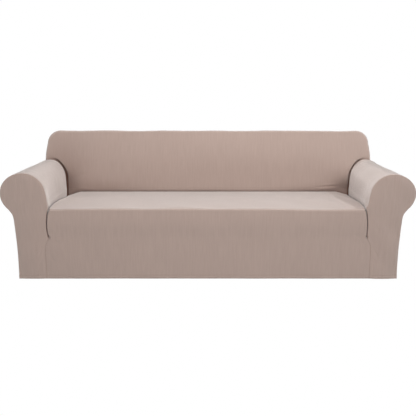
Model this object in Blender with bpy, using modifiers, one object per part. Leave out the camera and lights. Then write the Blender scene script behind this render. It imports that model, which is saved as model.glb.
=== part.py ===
"""Stretch slipcover for a long rolled-arm sofa, as its seven sewn panels.

x runs across the sofa (right is +), y runs from the front plane to the rear, and h is the height above
the hem. Every panel is an open sheet with Solidify, whose thickness goes to the hollow side. An empty
carries the panels, so that the origin is the point under the cloth in the middle of the back's top.
"""

import math

import bpy
import numpy as np


def table(columns, *rows):
    """A short table whose columns are read by name."""
    return np.array(list(rows), dtype=[(name, float) for name in columns.split()])


# Driving sizes, in metres
CLOTH = 0.002              # thickness of the knit
SEAM = 0.0003              # gap between two panels where they are sewn
TUCK_DEPTH = 0.030         # how far cloth is pushed down beside and behind the seat
CREASE_OPEN = 0.002        # half the width of a crease at its mouth
BACK_CREASE_OPEN = 0.004   # width of the crease between the seat and the back

SEAT_HEIGHT = 0.416        # front edge of the seat
SEAT_CROWN = 0.010         # rise of the seat's middle
SEAT_BACK_DROP = 0.002     # how much lower the seat is at its back
SEAT_BULGE = 0.008         # how far the cushion's front stands out
SEAT_SIDE_RADIUS = 0.007
FRONT_EDGE_RADIUS = 0.010
EDGE_TUCK = 0.009          # the tuck is shallow where it passes round the front edge
SLIT_TUCK = 0.016
FALL_LEFT = 0.10           # width over which the seat rolls to the left arm

ROLL_CENTRE_X = 1.047      # arm roll, an ellipse with its own width on the inner and the outer side
ROLL_CENTRE_H = 0.500
ROLL_RADIUS = 0.121
ROLL_INNER_RADIUS = 0.1255
ROLL_OUTER_RADIUS = 0.131
INNER_TAPER = 0.41         # share by which the arm's inner half narrows for each metre of depth
ARM_END_LENGTH = 0.022     # the arm's rear end rounds in against the back
ARM_END_DEPTH = 0.014
ARM_EDGE_RADIUS = 0.005    # rolled border of an arm front panel, and its flat seam edge
ARM_EDGE_FLAT = 0.002
ARM_FRONT_DOME = 0.004

BACK_HEIGHT = 0.808        # top front edge of the back
BACK_HALF_WIDTH = 1.079    # under its top corners
BACK_SIDE_LEAN = 0.012     # how much further out each side is at the arm's top
BACK_CORNER_RADIUS = 0.085
BACK_EDGE_RADIUS = 0.018
BACK_TOP_FALL = 0.035      # how much lower the back's top is at the rear
BACK_FOOT_Y = 0.580        # face of the inside back at the seat's height, at the arm's top, at the head
BACK_FOOT_H = 0.414
BACK_KNEE_Y = 0.620
BACK_HEAD_Y = 0.680
BEHIND_ARM = 0.003         # how far the inside back reaches in behind an arm's rounded end
DEPTH = 0.870              # front plane to rear plane

MOUNT_Y = 0.780            # the point that holds the cover, under the back's top
KNIT_COLOUR = (0.430, 0.342, 0.303, 1.0)
KNIT_ROUGHNESS = 0.9
SHARP_DEGREES = 50.0       # edges that turn more than this are shaded sharp

# Where the front skirt and an arm front meet: a sewn seam up to the slit's end, then the open slit.
# open is half the slit's width. turn is 0 where the cloth lies flat and 1 where its edge is turned in.
FRONT_SEAM = table(
    "h x open turn",
    (0.0000, 0.9390, 0.0000, 0.00),
    (0.0800, 0.9390, 0.0000, 0.00),
    (0.1500, 0.9390, 0.0000, 0.00),
    (0.1900, 0.9370, 0.0000, 0.00),
    (0.2100, 0.9310, 0.0000, 0.00),
    (0.2280, 0.9210, 0.0000, 0.00),
    (0.2460, 0.9120, 0.0004, 0.15),
    (0.2590, 0.9140, 0.0010, 0.60),
    (0.2740, 0.9165, 0.0014, 1.00),
    (0.3000, 0.9190, 0.0016, 1.00),
    (0.3360, 0.9200, 0.0016, 1.00),
    (0.3670, 0.9170, 0.0016, 1.00),
    (0.3900, 0.9125, 0.0016, 1.00),
    (0.4060, 0.9070, 0.0016, 1.00),
)
SLIT_END = 0.246

# The crease between the seat and an arm, from the front edge to the back.
# fall is the width over which the seat rolls to the right arm.
SEAT_CREASE = table(
    "y x h fall",
    (0.000, 0.9040, 0.4205, 0.035),
    (0.010, 0.9054, 0.4205, 0.040),
    (0.030, 0.9100, 0.4200, 0.055),
    (0.080, 0.9170, 0.4190, 0.088),
    (0.150, 0.9228, 0.4165, 0.115),
    (0.230, 0.9268, 0.4110, 0.160),
    (0.310, 0.9305, 0.4045, 0.180),
    (0.430, 0.9361, 0.3960, 0.200),
    (0.520, 0.9405, 0.3905, 0.205),
    (0.580, 0.9436, 0.3885, 0.210),
)

# Arm outline in the front plane: its inner side below the roll, and its outer side under the roll.
ARM_INNER = table(
    "x h",
    (0.9060, 0.4205),
    (0.9112, 0.4390),
    (0.9155, 0.4756),
)
ARM_OUTER = table(
    "x h",
    (1.1265, 0.398),
    (1.1165, 0.382),
    (1.1110, 0.360),
    (1.1085, 0.330),
    (1.1050, 0.270),
    (1.1012, 0.180),
    (1.1010, 0.090),
    (1.1025, 0.000),
)

# The arm's sheet beside the seat: how far below the crease, and how far from its middle.
ARM_TUCK = table(
    "below apart",
    (TUCK_DEPTH, SEAM / 2.0),
    (0.012, 0.0015),
    (0.000, CREASE_OPEN),
)

ARM_TOP = ROLL_CENTRE_H + ROLL_RADIUS
ARM_FRONT_Y = ARM_EDGE_RADIUS + ARM_EDGE_FLAT + 2.0 * SEAM
REAR_EDGE_Y = DEPTH - CLOTH - SEAM
# Outside this line the arm runs on past the back to the rear seam: x, angle on the roll, height.
RUN_ON_X = BACK_HALF_WIDTH + BACK_SIDE_LEAN - CLOTH
RUN_ON_ANGLE = math.degrees(math.acos((RUN_ON_X - ROLL_CENTRE_X) / ROLL_OUTER_RADIUS))
RUN_ON_H = ROLL_CENTRE_H + ROLL_RADIUS * math.sin(math.radians(RUN_ON_ANGLE))


# Shape helpers

def smooth(t):
    """0 to 1 with level ends, for t from 0 to 1."""
    t = np.clip(t, 0.0, 1.0)
    return t * t * (3.0 - 2.0 * t)


def back_face_y(h):
    """Face of the inside back: one slope up to the arm's top, and a steeper lean above it."""
    lower = (BACK_KNEE_Y - BACK_FOOT_Y) / (ARM_TOP - BACK_FOOT_H)
    upper = (BACK_HEAD_Y - BACK_KNEE_Y) / (BACK_HEIGHT - ARM_TOP)
    return BACK_KNEE_Y + (h - ARM_TOP) * np.where(h < ARM_TOP, lower, upper)


def rear_height(h):
    """Height at the rear plane of cloth that leaves the back's front edge at height h."""
    return h - BACK_TOP_FALL * np.clip((h - ARM_TOP) / (BACK_HEIGHT - ARM_TOP), 0.0, 1.0)


def roll_points(degrees):
    """Points of the arm roll, from its inner side (180 degrees) over the top (90) to the outside."""
    angle = np.radians(degrees)
    width = np.where(np.cos(angle) < 0.0, ROLL_INNER_RADIUS, ROLL_OUTER_RADIUS)
    return ROLL_CENTRE_X + width * np.cos(angle), ROLL_CENTRE_H + ROLL_RADIUS * np.sin(angle)


def turned_edge(turn, radius, straight, steps):
    """An edge that turns in, then runs straight: its (across, depth) line by line.

    With turn at 1 it is a quarter circle and a straight flange, with turn at 0 it is flat and as long.
    """
    length = radius * np.pi / 2.0 * np.arange(1, steps + 1)[:, None] / steps
    angle = np.maximum(turn, 1e-6) * length / radius
    across = radius / np.maximum(turn, 1e-6) * np.sin(angle)
    depth = radius / np.maximum(turn, 1e-6) * (1.0 - np.cos(angle))
    across = np.vstack([across, across[-1] + straight * np.cos(angle[-1])])
    depth = np.vstack([depth, depth[-1] + straight * np.sin(angle[-1])])
    return across, depth


def along(x, h, count):
    """Points spaced evenly along a line of points."""
    length = np.append(0.0, np.cumsum(np.hypot(np.diff(x), np.diff(h))))
    wanted = np.linspace(0.0, length[-1], count)
    return np.interp(wanted, length, x), np.interp(wanted, length, h)


def fill_patch(left, right, bottom, top):
    """A grid between four border lines: the sum of both straight blends, less the corners' blend."""
    v = np.linspace(0.0, 1.0, len(left))[:, None, None]
    u = np.linspace(0.0, 1.0, len(bottom))[None, :, None]
    rows = (1.0 - u) * left[:, None] + u * right[:, None]
    columns = (1.0 - v) * bottom[None] + v * top[None]
    low = (1.0 - u) * left[0] + u * right[0]
    high = (1.0 - u) * left[-1] + u * right[-1]
    return rows + columns - (1.0 - v) * low - v * high


# Mesh helpers

def grid_faces(index, keep=None):
    """Quads of a grid of point numbers, which face the side where columns run right and rows up."""
    quads = np.stack([index[:-1, :-1], index[:-1, 1:], index[1:, 1:], index[1:, :-1]], axis=-1)
    return quads.reshape(-1, 4) if keep is None else quads[keep]


def rim_loop(rows, columns):
    """Point numbers up a grid's left side, along its top row and down its right side."""
    index = np.arange(rows * columns).reshape(rows, columns)
    return np.concatenate([index[:, 0], index[-1, 1:-1], index[::-1, -1]])


def banded_sheet(inner, bands, keep=None):
    """A grid with lines of cloth added round its left side, its top and its right side."""
    rows, columns = inner.shape[:2]
    loop = rim_loop(rows, columns)
    added = rows * columns + np.arange(len(bands) * len(loop)).reshape(len(bands), len(loop))
    faces = np.vstack([
        grid_faces(np.arange(rows * columns).reshape(rows, columns)),
        grid_faces(np.vstack([loop, added]), keep),
    ])
    return np.vstack([inner.reshape(-1, 3), np.reshape(bands, (-1, 3))]), faces


def add_sheet(cover, holder, name, points, faces, side=1.0):
    """Put one open sheet into the cover, mirrored where side is -1, with the cloth's thickness."""
    used, faces = np.unique(faces, return_inverse=True)
    faces = faces.reshape(-1, 4)
    if side < 0.0:
        faces = faces[:, ::-1]
    mesh = bpy.data.meshes.new(name)
    mesh.from_pydata((points[used] * (side, 1.0, 1.0)).tolist(), [], faces.tolist())
    sheet = bpy.data.objects.new(name, mesh)
    cover.objects.link(sheet)
    sheet.parent = holder
    solid = sheet.modifiers.new("cloth", "SOLIDIFY")
    solid.thickness = CLOTH
    solid.offset = -1.0
    solid.use_even_offset = True
    mesh.shade_smooth()
    mesh.set_sharp_from_angle(angle=math.radians(SHARP_DEGREES))
    knit = bpy.data.materials.new("knit_" + name)
    knit.use_nodes = True
    shader = knit.node_tree.nodes["Principled BSDF"]
    shader.inputs["Base Color"].default_value = KNIT_COLOUR
    shader.inputs["Roughness"].default_value = KNIT_ROUGHNESS
    shader.inputs["Metallic"].default_value = 0.0
    mesh.materials.append(knit)


# Seat and front skirt

SEAT_COLUMNS = np.array((
    0.0, 0.012, 0.026, 0.042, 0.06, 0.10, 0.17, 0.27, 0.38, 0.5,
    0.62, 0.73, 0.81, 0.87, 0.905, 0.93, 0.952, 0.97, 0.985, 1.0,
))
EDGE_ANGLES = np.radians((30.0, 60.0))
TURN_STEPS = 3


def front_bulge(h):
    """How far the skirt stands out: the cushion's front is full, and the rest hangs flat."""
    share = np.clip((h - SLIT_END) / (SEAT_HEIGHT - SLIT_END), 0.0, 1.0)
    return SEAT_BULGE * np.sin(np.pi * share) ** 1.5


def slit_closing():
    """How far the turned-in edges of the slit come together at their foot, up to the arm's tuck."""
    closing = FRONT_SEAM["open"] * FRONT_SEAM["turn"]
    closing[-1] = 0.0
    return closing


def seat_surface(x, y):
    """Height of the crowned seat, which rolls to each arm's crease."""
    share = np.clip(y / BACK_FOOT_Y, 0.0, 1.0)
    middle = SEAT_HEIGHT + SEAT_CROWN * np.sin(np.pi * share) - SEAT_BACK_DROP * share ** 2
    crease = np.interp(y, SEAT_CREASE["y"], SEAT_CREASE["h"])
    edge = np.interp(y, SEAT_CREASE["y"], SEAT_CREASE["x"])
    width = np.where(x < 0.0, FALL_LEFT, np.interp(y, SEAT_CREASE["y"], SEAT_CREASE["fall"]))
    fall = np.clip(1.0 - (edge - np.abs(x)) / width, 0.0, 1.0) ** 2
    return middle + (crease - middle) * fall


def build_seat_front(cover, holder):
    """Rows climb from the hem, turn over the front edge and run back to the inside back."""
    front = len(FRONT_SEAM)
    edge = front + len(EDGE_ANGLES)
    rows = edge + len(SEAT_CREASE) - 1

    turn = np.append(FRONT_SEAM["turn"], np.ones(rows - front))
    straight = np.full(rows, TUCK_DEPTH - SEAT_SIDE_RADIUS)
    straight[:front] = SLIT_TUCK + front_bulge(FRONT_SEAM["h"]) - SEAT_SIDE_RADIUS
    straight[front - 1:edge + 1] = EDGE_TUCK - SEAT_SIDE_RADIUS
    closing = np.zeros(rows)
    closing[:front] = slit_closing()
    closing[edge + 1:] = CREASE_OPEN - SEAM / 2.0
    across, depth = turned_edge(turn, SEAT_SIDE_RADIUS, straight, TURN_STEPS)

    corner_y = back_face_y(SEAT_CREASE["h"][-1]) - BACK_CREASE_OPEN - SEAT_SIDE_RADIUS
    seat_y = np.append(SEAT_CREASE["y"][1:-1], corner_y)
    rim_x = np.concatenate([
        FRONT_SEAM["x"] - FRONT_SEAM["open"] - SEAM / 2.0,
        np.full(len(EDGE_ANGLES), SEAT_CREASE["x"][0] - CREASE_OPEN),
        np.interp(seat_y, SEAT_CREASE["y"], SEAT_CREASE["x"]) - CREASE_OPEN,
    ])
    x = (rim_x - across[-1])[:, None] * (2.0 * SEAT_COLUMNS - 1.0)
    y = np.zeros_like(x)
    h = np.zeros_like(x)
    y[:front] = -front_bulge(FRONT_SEAM["h"])[:, None]
    h[:front] = FRONT_SEAM["h"][:, None]
    y[front:edge] = FRONT_EDGE_RADIUS * (1.0 - np.cos(EDGE_ANGLES))[:, None]
    h[front:edge] = SEAT_HEIGHT - FRONT_EDGE_RADIUS * (1.0 - np.sin(EDGE_ANGLES))[:, None]
    y[edge:] = seat_y[:, None]
    h[edge:] = seat_surface(x[edge:], y[edge:])
    y[-1] = back_face_y(h[-1]) - BACK_CREASE_OPEN - SEAT_SIDE_RADIUS
    inner = np.stack([x, y, h], axis=-1)

    inward = np.zeros((rows, 3))
    inward[:front, 1] = 1.0
    inward[front:edge, 1] = np.cos(EDGE_ANGLES)
    inward[front:edge, 2] = -np.sin(EDGE_ANGLES)
    inward[edge:, 2] = -1.0

    loop = rim_loop(*x.shape)
    row, column = np.divmod(loop, x.shape[1])
    start = inner.reshape(-1, 3)[loop]
    side = np.where(np.isin(column, (0, x.shape[1] - 1)), np.sign(start[:, 0]), 0.0)
    at_rear = row == rows - 1
    bands = []
    for line_across, line_depth in zip(across, depth):
        line = start + inward[row] * line_depth[row][:, None]
        line[:, 0] += side * line_across[row]
        line[at_rear, 1] += line_across[-1]
        bands.append(line)
    # the flange closes up to the arm and to the back at its foot
    bands[-1][:, 0] += side * closing[row]
    bands[-1][at_rear, 1] = back_face_y(bands[-1][at_rear, 2]) - SEAM
    add_sheet(cover, holder, "seat_front", *banded_sheet(inner, bands))


# Back

BACK_COLUMNS = np.array((0.0, 0.03, 0.07, 0.13, 0.22, 0.33, 0.44, 0.56, 0.67, 0.78, 0.87, 0.93, 0.97, 1.0))
BACK_LOW_ROWS = np.array((0.356, 0.3885, 0.414, 0.45, 0.50, 0.54, 0.57, 0.59, 0.602, 0.6095))
BACK_CORNER_ANGLES = np.radians((0.0, 18.0, 36.0, 54.0, 72.0, 90.0))
BACK_SIDE_ROWS = np.array((RUN_ON_H + SEAM, 0.65, 0.685))


def back_outline(inset):
    """The back's side, corner and top, this far inside its outline: x, h and the outward way.

    Each side leans out from the corner to the arm's top: lean * share * (2 - share).
    """
    side = np.ones(len(BACK_SIDE_ROWS))
    corner_foot = BACK_HEIGHT - BACK_CORNER_RADIUS
    share = (corner_foot - BACK_SIDE_ROWS) / (corner_foot - BACK_SIDE_ROWS[0])
    radius = BACK_CORNER_RADIUS - inset
    corner_x = BACK_HALF_WIDTH - BACK_CORNER_RADIUS + radius * np.cos(BACK_CORNER_ANGLES)
    corner_h = corner_foot + radius * np.sin(BACK_CORNER_ANGLES)
    x = np.append(BACK_HALF_WIDTH - inset + BACK_SIDE_LEAN * share * (2.0 - share), corner_x)
    h = np.append(BACK_SIDE_ROWS, corner_h)
    out_x = np.append(side, np.cos(BACK_CORNER_ANGLES))
    out_h = np.append(0.0 * side, np.sin(BACK_CORNER_ANGLES))
    return x, h, out_x, out_h


def build_inside_back(cover, holder):
    """The face between the arms and above them, then the top and sides back to the rear seam."""
    high_x, high_h, out_x, out_h = back_outline(BACK_EDGE_RADIUS)
    narrow = ROLL_INNER_RADIUS * (1.0 - INNER_TAPER * BACK_FOOT_Y) - ARM_END_DEPTH + BEHIND_ARM
    rise = ROLL_RADIUS - ARM_END_DEPTH + BEHIND_ARM
    share = np.clip((BACK_LOW_ROWS - ROLL_CENTRE_H) / rise, 0.0, 1.0)
    low_x = ROLL_CENTRE_X - narrow * np.sqrt(1.0 - share ** 2)
    low = len(low_x)
    x = np.append(low_x, high_x)[:, None] * (2.0 * BACK_COLUMNS - 1.0)
    h = np.repeat(np.append(BACK_LOW_ROWS, high_h)[:, None], x.shape[1], axis=1)
    inner = np.stack([x, back_face_y(h), h], axis=-1)

    loop = rim_loop(*x.shape)
    row, column = np.divmod(loop, x.shape[1])
    start = inner.reshape(-1, 3)[loop]
    at_side = np.isin(column, (0, x.shape[1] - 1))
    outward = np.zeros_like(start)
    outward[:, 0] = at_side * np.sign(start[:, 0]) * np.append(np.ones(low), out_x)[row]
    outward[:, 2] = np.where(at_side, np.append(np.zeros(low), out_h)[row], 1.0)
    across, depth = turned_edge(np.ones(1), BACK_EDGE_RADIUS, np.zeros(1), TURN_STEPS)
    rearward = np.array([0.0, 1.0, 0.0])
    bands = [start + outward * a + rearward * d for a, d in zip(across, depth)]
    bands[-1][:, 1] = REAR_EDGE_Y
    bands[-1][:, 2] = rear_height(bands[-1][:, 2])
    above_arms = np.minimum(row[:-1], row[1:]) >= low
    keep = np.repeat(above_arms[None], len(bands), axis=0)
    add_sheet(cover, holder, "inside_back", *banded_sheet(inner, bands, keep))


REAR_ROLL_ANGLES = np.append(np.linspace(-45.0, 65.0, 12), RUN_ON_ANGLE)
REAR_COLUMNS = 7


def build_outside_back(cover, holder):
    """One flat panel inside the whole rear outline: hem, arm rolls, sides, corners and top."""
    roll_x, roll_h = roll_points(REAR_ROLL_ANGLES)
    back_x, back_h, _, _ = back_outline(0.0)
    half = np.concatenate([ARM_OUTER["x"][::-1], roll_x, back_x])[:, None]
    height = np.concatenate([ARM_OUTER["h"][::-1], roll_h, rear_height(back_h)])[:, None]
    x = half * np.linspace(1.0, -1.0, REAR_COLUMNS)
    points = np.stack([x, np.full_like(x, DEPTH), np.broadcast_to(height, x.shape)], axis=-1)
    faces = grid_faces(np.arange(x.size).reshape(x.shape))
    add_sheet(cover, holder, "outside_back", points.reshape(-1, 3), faces)


# Arms

ROLL_ANGLES = np.concatenate([
    np.linspace(168.0, 90.0, 10),
    (82.0, RUN_ON_ANGLE),
    np.linspace(65.0, -45.0, 12),
])
END_ANGLES = np.radians((0.0, 25.0, 48.0, 70.0, 90.0))


def build_arm(cover, holder, name, side):
    """Sections of the arm from its front seam to the back and, outside the back, to the rear."""
    roll_x, roll_h = roll_points(ROLL_ANGLES)
    tuck = len(ARM_TUCK)
    run_on = tuck + len(ARM_INNER) - 1 + int(np.flatnonzero(ROLL_ANGLES == RUN_ON_ANGLE)[0])
    side_y = np.append(ARM_FRONT_Y, SEAT_CREASE["y"][2:-1])
    rows = len(side_y) + len(END_ANGLES)
    end = slice(len(side_y), rows)

    section_x = np.concatenate([np.zeros(tuck), ARM_INNER["x"][1:], roll_x, ARM_OUTER["x"]])
    section_h = np.concatenate([np.zeros(tuck), ARM_INNER["h"][1:], roll_h, ARM_OUTER["h"]])
    section_h[:tuck] = SEAT_CREASE["h"][-1] - ARM_TUCK["below"]
    section_h[run_on:] = np.minimum(section_h[run_on:], RUN_ON_H)
    y = np.repeat(np.append(side_y, np.zeros(len(END_ANGLES)))[:, None], len(section_h), axis=1)
    y[end] = back_face_y(section_h) - SEAM - ARM_END_LENGTH * (1.0 - np.sin(END_ANGLES))[:, None]
    y[end, run_on:] = y[end, run_on][:, None]

    # the inner half narrows towards the back, and the lowest columns go down along the seat's crease
    narrow = np.where(section_x < ROLL_CENTRE_X, 1.0 - INNER_TAPER * y, 1.0)
    x = ROLL_CENTRE_X + (section_x - ROLL_CENTRE_X) * narrow
    h = np.repeat(section_h[None], rows, axis=0)
    crease_x = np.interp(y[:, :tuck], SEAT_CREASE["y"], SEAT_CREASE["x"])
    crease_h = np.interp(y[:, :tuck], SEAT_CREASE["y"], SEAT_CREASE["h"])
    shallow = np.interp(y[:, :tuck], (ARM_FRONT_Y, SEAT_CREASE["y"][2]), (EDGE_TUCK / TUCK_DEPTH, 1.0))
    x[:, :tuck] = crease_x + ARM_TUCK["apart"]
    h[:, :tuck] = crease_h - ARM_TUCK["below"] * shallow

    # the rear end rounds in against the back, less and less towards the line where the arm runs on
    run_x = np.gradient(x, axis=1)
    run_h = np.gradient(h, axis=1)
    length = np.hypot(run_x, run_h)
    fade = 1.0 - smooth((x - ROLL_CENTRE_X) / (RUN_ON_X - ROLL_CENTRE_X))
    drawn = np.zeros_like(x)
    drawn[end] = ARM_END_DEPTH * (1.0 - np.cos(END_ANGLES))[:, None]
    x += run_h / length * drawn * fade
    h -= run_x / length * drawn * fade
    y[end, :run_on] -= back_face_y(section_h[:run_on]) - back_face_y(h[end, :run_on])

    # outside the back the sheet runs on to the rear seam
    x = np.vstack([x, x[-1], x[-1]])
    h = np.vstack([h, h[-1], h[-1]])
    rear_y = np.full(y.shape[1], REAR_EDGE_Y)
    y = np.vstack([y, 0.5 * (y[-1] + rear_y), rear_y])
    keep = np.ones((x.shape[0] - 1, x.shape[1] - 1), bool)
    keep[rows - 1:, :run_on] = False
    faces = grid_faces(np.arange(x.size).reshape(x.shape), keep)
    add_sheet(cover, holder, name, np.stack([x, y, h], axis=-1).reshape(-1, 3), faces, side)


LEFT_ANGLES = np.linspace(168.0, 132.0, 5)
FRONT_TOP_ANGLES = np.linspace(132.0, 48.0, 10)
RIGHT_ANGLES = np.linspace(48.0, -45.0, 11)


def build_arm_front(cover, holder, name, side):
    """A patch inside the arm's outline, with a border that rolls back to the arm's front seam."""
    left_x, left_h = roll_points(LEFT_ANGLES)
    top_x, top_h = roll_points(FRONT_TOP_ANGLES)
    right_x, right_h = roll_points(RIGHT_ANGLES)
    seam_x = FRONT_SEAM["x"] + FRONT_SEAM["open"] + SEAM / 2.0
    left_x = np.concatenate([seam_x, ARM_INNER["x"], left_x])
    left_h = np.concatenate([FRONT_SEAM["h"], ARM_INNER["h"], left_h])
    rows, columns = len(left_x), len(top_x)
    right_x, right_h = along(np.append(right_x, ARM_OUTER["x"]), np.append(right_h, ARM_OUTER["h"]), rows)
    x = np.concatenate([left_x, top_x[1:-1], right_x])
    h = np.concatenate([left_h, top_h[1:-1], right_h])
    slit = len(FRONT_SEAM)
    turn = np.append(FRONT_SEAM["turn"], np.ones(len(x) - slit))
    straight = np.full(len(x), ARM_EDGE_FLAT)
    straight[:slit - 1] += (SLIT_TUCK - ARM_EDGE_RADIUS - ARM_EDGE_FLAT) * turn[:slit - 1]

    run_x = np.gradient(x)
    run_h = np.gradient(h)
    run_x[[0, -1]] = 0.0
    length = np.hypot(run_x, run_h)
    inward = np.stack([run_h / length, np.zeros_like(x), -run_x / length], axis=-1)
    outline = np.stack([x, np.zeros_like(x), h], axis=-1)
    across, depth = turned_edge(turn, ARM_EDGE_RADIUS, straight, TURN_STEPS)
    rim = outline + inward * across[-1][:, None]
    left = rim[:rows]
    right = rim[-rows:][::-1]
    bottom = np.linspace(left[0], right[0], columns)
    inner = fill_patch(left, right, bottom, rim[rows - 1:rows - 1 + columns])
    u = np.linspace(-1.0, 1.0, columns)
    v = np.linspace(0.0, 1.0, rows)[:, None]
    inner[:, :, 1] -= ARM_FRONT_DOME * (1.0 - u ** 2) * (1.0 - v ** 4)
    bands = []
    for line_across, line_depth in zip(across, depth):
        line = rim - inward * line_across[:, None]
        line[:, 1] += line_depth
        bands.append(line)
    bands[-1][:slit, 0] -= slit_closing()
    add_sheet(cover, holder, name, *banded_sheet(inner, bands), side)


def main():
    for thing in list(bpy.data.objects):
        bpy.data.objects.remove(thing, do_unlink=True)
    cover = bpy.data.collections.new("sofa_slipcover")
    bpy.context.scene.collection.children.link(cover)
    holder = bpy.data.objects.new("cover_origin", None)
    top_share = (MOUNT_Y - BACK_HEAD_Y) / (DEPTH - BACK_HEAD_Y)
    mount_h = BACK_HEIGHT - BACK_TOP_FALL * top_share - CLOTH
    holder.location = (0.0, -MOUNT_Y, -mount_h)
    cover.objects.link(holder)
    build_seat_front(cover, holder)
    build_inside_back(cover, holder)
    build_outside_back(cover, holder)
    for word, side in (("left", -1.0), ("right", 1.0)):
        build_arm(cover, holder, "arm_" + word, side)
        build_arm_front(cover, holder, "arm_front_" + word, side)


main()
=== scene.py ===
import math
from functools import partial

import bpy
import numpy as np
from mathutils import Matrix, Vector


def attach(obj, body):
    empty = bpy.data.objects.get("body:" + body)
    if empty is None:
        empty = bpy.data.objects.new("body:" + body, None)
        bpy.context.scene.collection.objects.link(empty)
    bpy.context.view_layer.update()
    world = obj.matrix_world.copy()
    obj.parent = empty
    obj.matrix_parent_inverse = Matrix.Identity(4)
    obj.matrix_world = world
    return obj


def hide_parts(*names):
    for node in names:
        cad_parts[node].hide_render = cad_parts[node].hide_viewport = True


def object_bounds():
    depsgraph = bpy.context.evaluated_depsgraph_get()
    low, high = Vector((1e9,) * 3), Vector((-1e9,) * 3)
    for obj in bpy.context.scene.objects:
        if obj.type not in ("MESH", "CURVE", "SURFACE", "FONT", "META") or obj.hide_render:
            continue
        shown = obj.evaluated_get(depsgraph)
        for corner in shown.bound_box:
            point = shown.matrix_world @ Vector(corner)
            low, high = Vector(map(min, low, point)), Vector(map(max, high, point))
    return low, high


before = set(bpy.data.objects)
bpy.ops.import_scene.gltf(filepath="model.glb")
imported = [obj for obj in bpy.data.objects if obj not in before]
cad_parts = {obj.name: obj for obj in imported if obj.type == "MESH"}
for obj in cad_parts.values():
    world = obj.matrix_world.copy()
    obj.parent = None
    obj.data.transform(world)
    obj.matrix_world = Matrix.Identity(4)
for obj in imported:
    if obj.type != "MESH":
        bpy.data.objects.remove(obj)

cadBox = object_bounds()
print("frame loaded:", ", ".join(sorted(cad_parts)))


def table(names, *rows):
    # a short table whose columns are read by name
    return dict(zip(names.split(), np.array(rows, float).T))


# Sizes that the panels share, in metres: x to the right, y from the front plane, h above the hem
cover = {
    "cloth": 0.002,              # thickness of the knit
    "reliefRoom": 0.0002,        # the sheets shown are this much thinner, which leaves room for their relief
    "stretch": 1.12,             # how much wider the knit is on the sofa than it was cut
    "seam": 0.0003,              # gap between two sewn panels
    "seamShade": 0.62,           # painted shade along the line of a seam
    "depth": 0.870,              # front plane to rear plane
    "tuckDepth": 0.030,          # cloth pushed down beside and behind the seat
    "creaseOpen": 0.0028,        # half the width of a crease beside the seat
    "backCreaseOpen": 0.004,     # width of the crease behind the seat
    "edgeTuck": 0.009,           # the tuck where it passes round the seat's front edge
    "slitTuck": 0.016,
    "slitEnd": 0.246,            # height where the front seam opens
    "slitFade": 0.020,           # height over which it closes again below the front edge
    "frontEdgeRadius": 0.010,
    "floorBelow": 0.045,         # the floor under the hem
}

# Where the front skirt and an arm front meet, from the hem up: sewn first, then an open slit.
# left and right are how far each side's seam strays outwards from x.
frontSeam = table(
    "h x open turn left right",
    (0.0, 0.939, 0.0, 0.0, 0.0, 0.0),
    (0.08, 0.939, 0.0, 0.0, 0.0, 0.0),
    (0.15, 0.939, 0.0, 0.0, 0.0, 0.0),
    (0.19, 0.937, 0.0, 0.0, 0.0, 0.0),
    (0.21, 0.931, 0.0, 0.0, 0.0005, 0.0005),
    (0.228, 0.921, 0.0, 0.0, 0.001, 0.001),
    (0.246, 0.912, 0.0004, 0.4, 0.0025, 0.0015),
    (0.259, 0.914, 0.0012, 1.0, 0.0035, -0.001),
    (0.274, 0.9165, 0.0014, 1.0, 0.004, -0.004),
    (0.3, 0.919, 0.0016, 1.0, 0.0045, -0.006),
    (0.336, 0.92, 0.0016, 1.0, 0.003, -0.008),
    (0.367, 0.917, 0.0016, 1.0, 0.003, -0.0085),
    (0.39, 0.9125, 0.0016, 1.0, 0.004, -0.0075),
    (0.406, 0.907, 0.0016, 1.0, 0.005, -0.006),
)

# The crease between the seat and an arm, from the front edge to the back.
# fallLeft and fallRight are the widths over which the seat rolls to it.
seatCrease = table(
    "y x h fallLeft fallRight left right",
    (0.0, 0.904, 0.4205, 0.1, 0.035, 0.0045, -0.006),
    (0.01, 0.9054, 0.4205, 0.1, 0.048, 0.004, -0.007),
    (0.03, 0.91, 0.42, 0.1, 0.062, 0.002, -0.009),
    (0.08, 0.917, 0.419, 0.1, 0.08, 0.0, -0.0115),
    (0.15, 0.9228, 0.4165, 0.1, 0.105, 0.0, -0.011),
    (0.23, 0.9268, 0.411, 0.1, 0.126, 0.0, -0.0085),
    (0.31, 0.9305, 0.4045, 0.1, 0.138, 0.0, -0.0075),
    (0.43, 0.9361, 0.396, 0.1, 0.122, -0.002, -0.008),
    (0.52, 0.9405, 0.3905, 0.1, 0.092, -0.004, -0.009),
    (0.58, 0.9436, 0.3885, 0.1, 0.084, -0.004, -0.009),
)

# The frame gives the place: the rear plane and the hem are the CAD box's own
origin = np.array([0.0, cadBox[1][1] - cover["depth"], cadBox[0][2]])


# Curves and grids

def ease(t):
    # 0 to 1 with level ends: 3tt - 2ttt
    t = np.clip(t, 0.0, 1.0)
    return t * t * (3.0 - 2.0 * t)


def setIn(t, start, over):
    # 0 to 1 from start on, over this distance, or towards lower values where it is negative
    return ease((t - start) / over)


def glide(t, knots, values):
    # smooth line through a table's rows: cubics whose slope at a row is the mean of the steps beside it
    step = np.diff(values) / np.diff(knots)
    slope = np.concatenate([step[:1], 0.5 * (step[1:] + step[:-1]), step[-1:]])
    cell = np.clip(np.searchsorted(knots, t) - 1, 0, len(step) - 1)
    width = np.diff(knots)[cell]
    s = np.clip((t - knots[cell]) / width, 0.0, 1.0)
    rise = 3.0 * s ** 2 - 2.0 * s ** 3
    bend = (s ** 3 - 2.0 * s ** 2 + s) * slope[cell] + (s ** 3 - s ** 2) * slope[cell + 1]
    return values[cell] * (1.0 - rise) + values[cell + 1] * rise + bend * width


def follow(rows, t, *columns):
    # the sum of these columns of a table as a smooth line over its first column
    return glide(t, next(iter(rows.values())), sum(rows[column] for column in columns))


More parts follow.
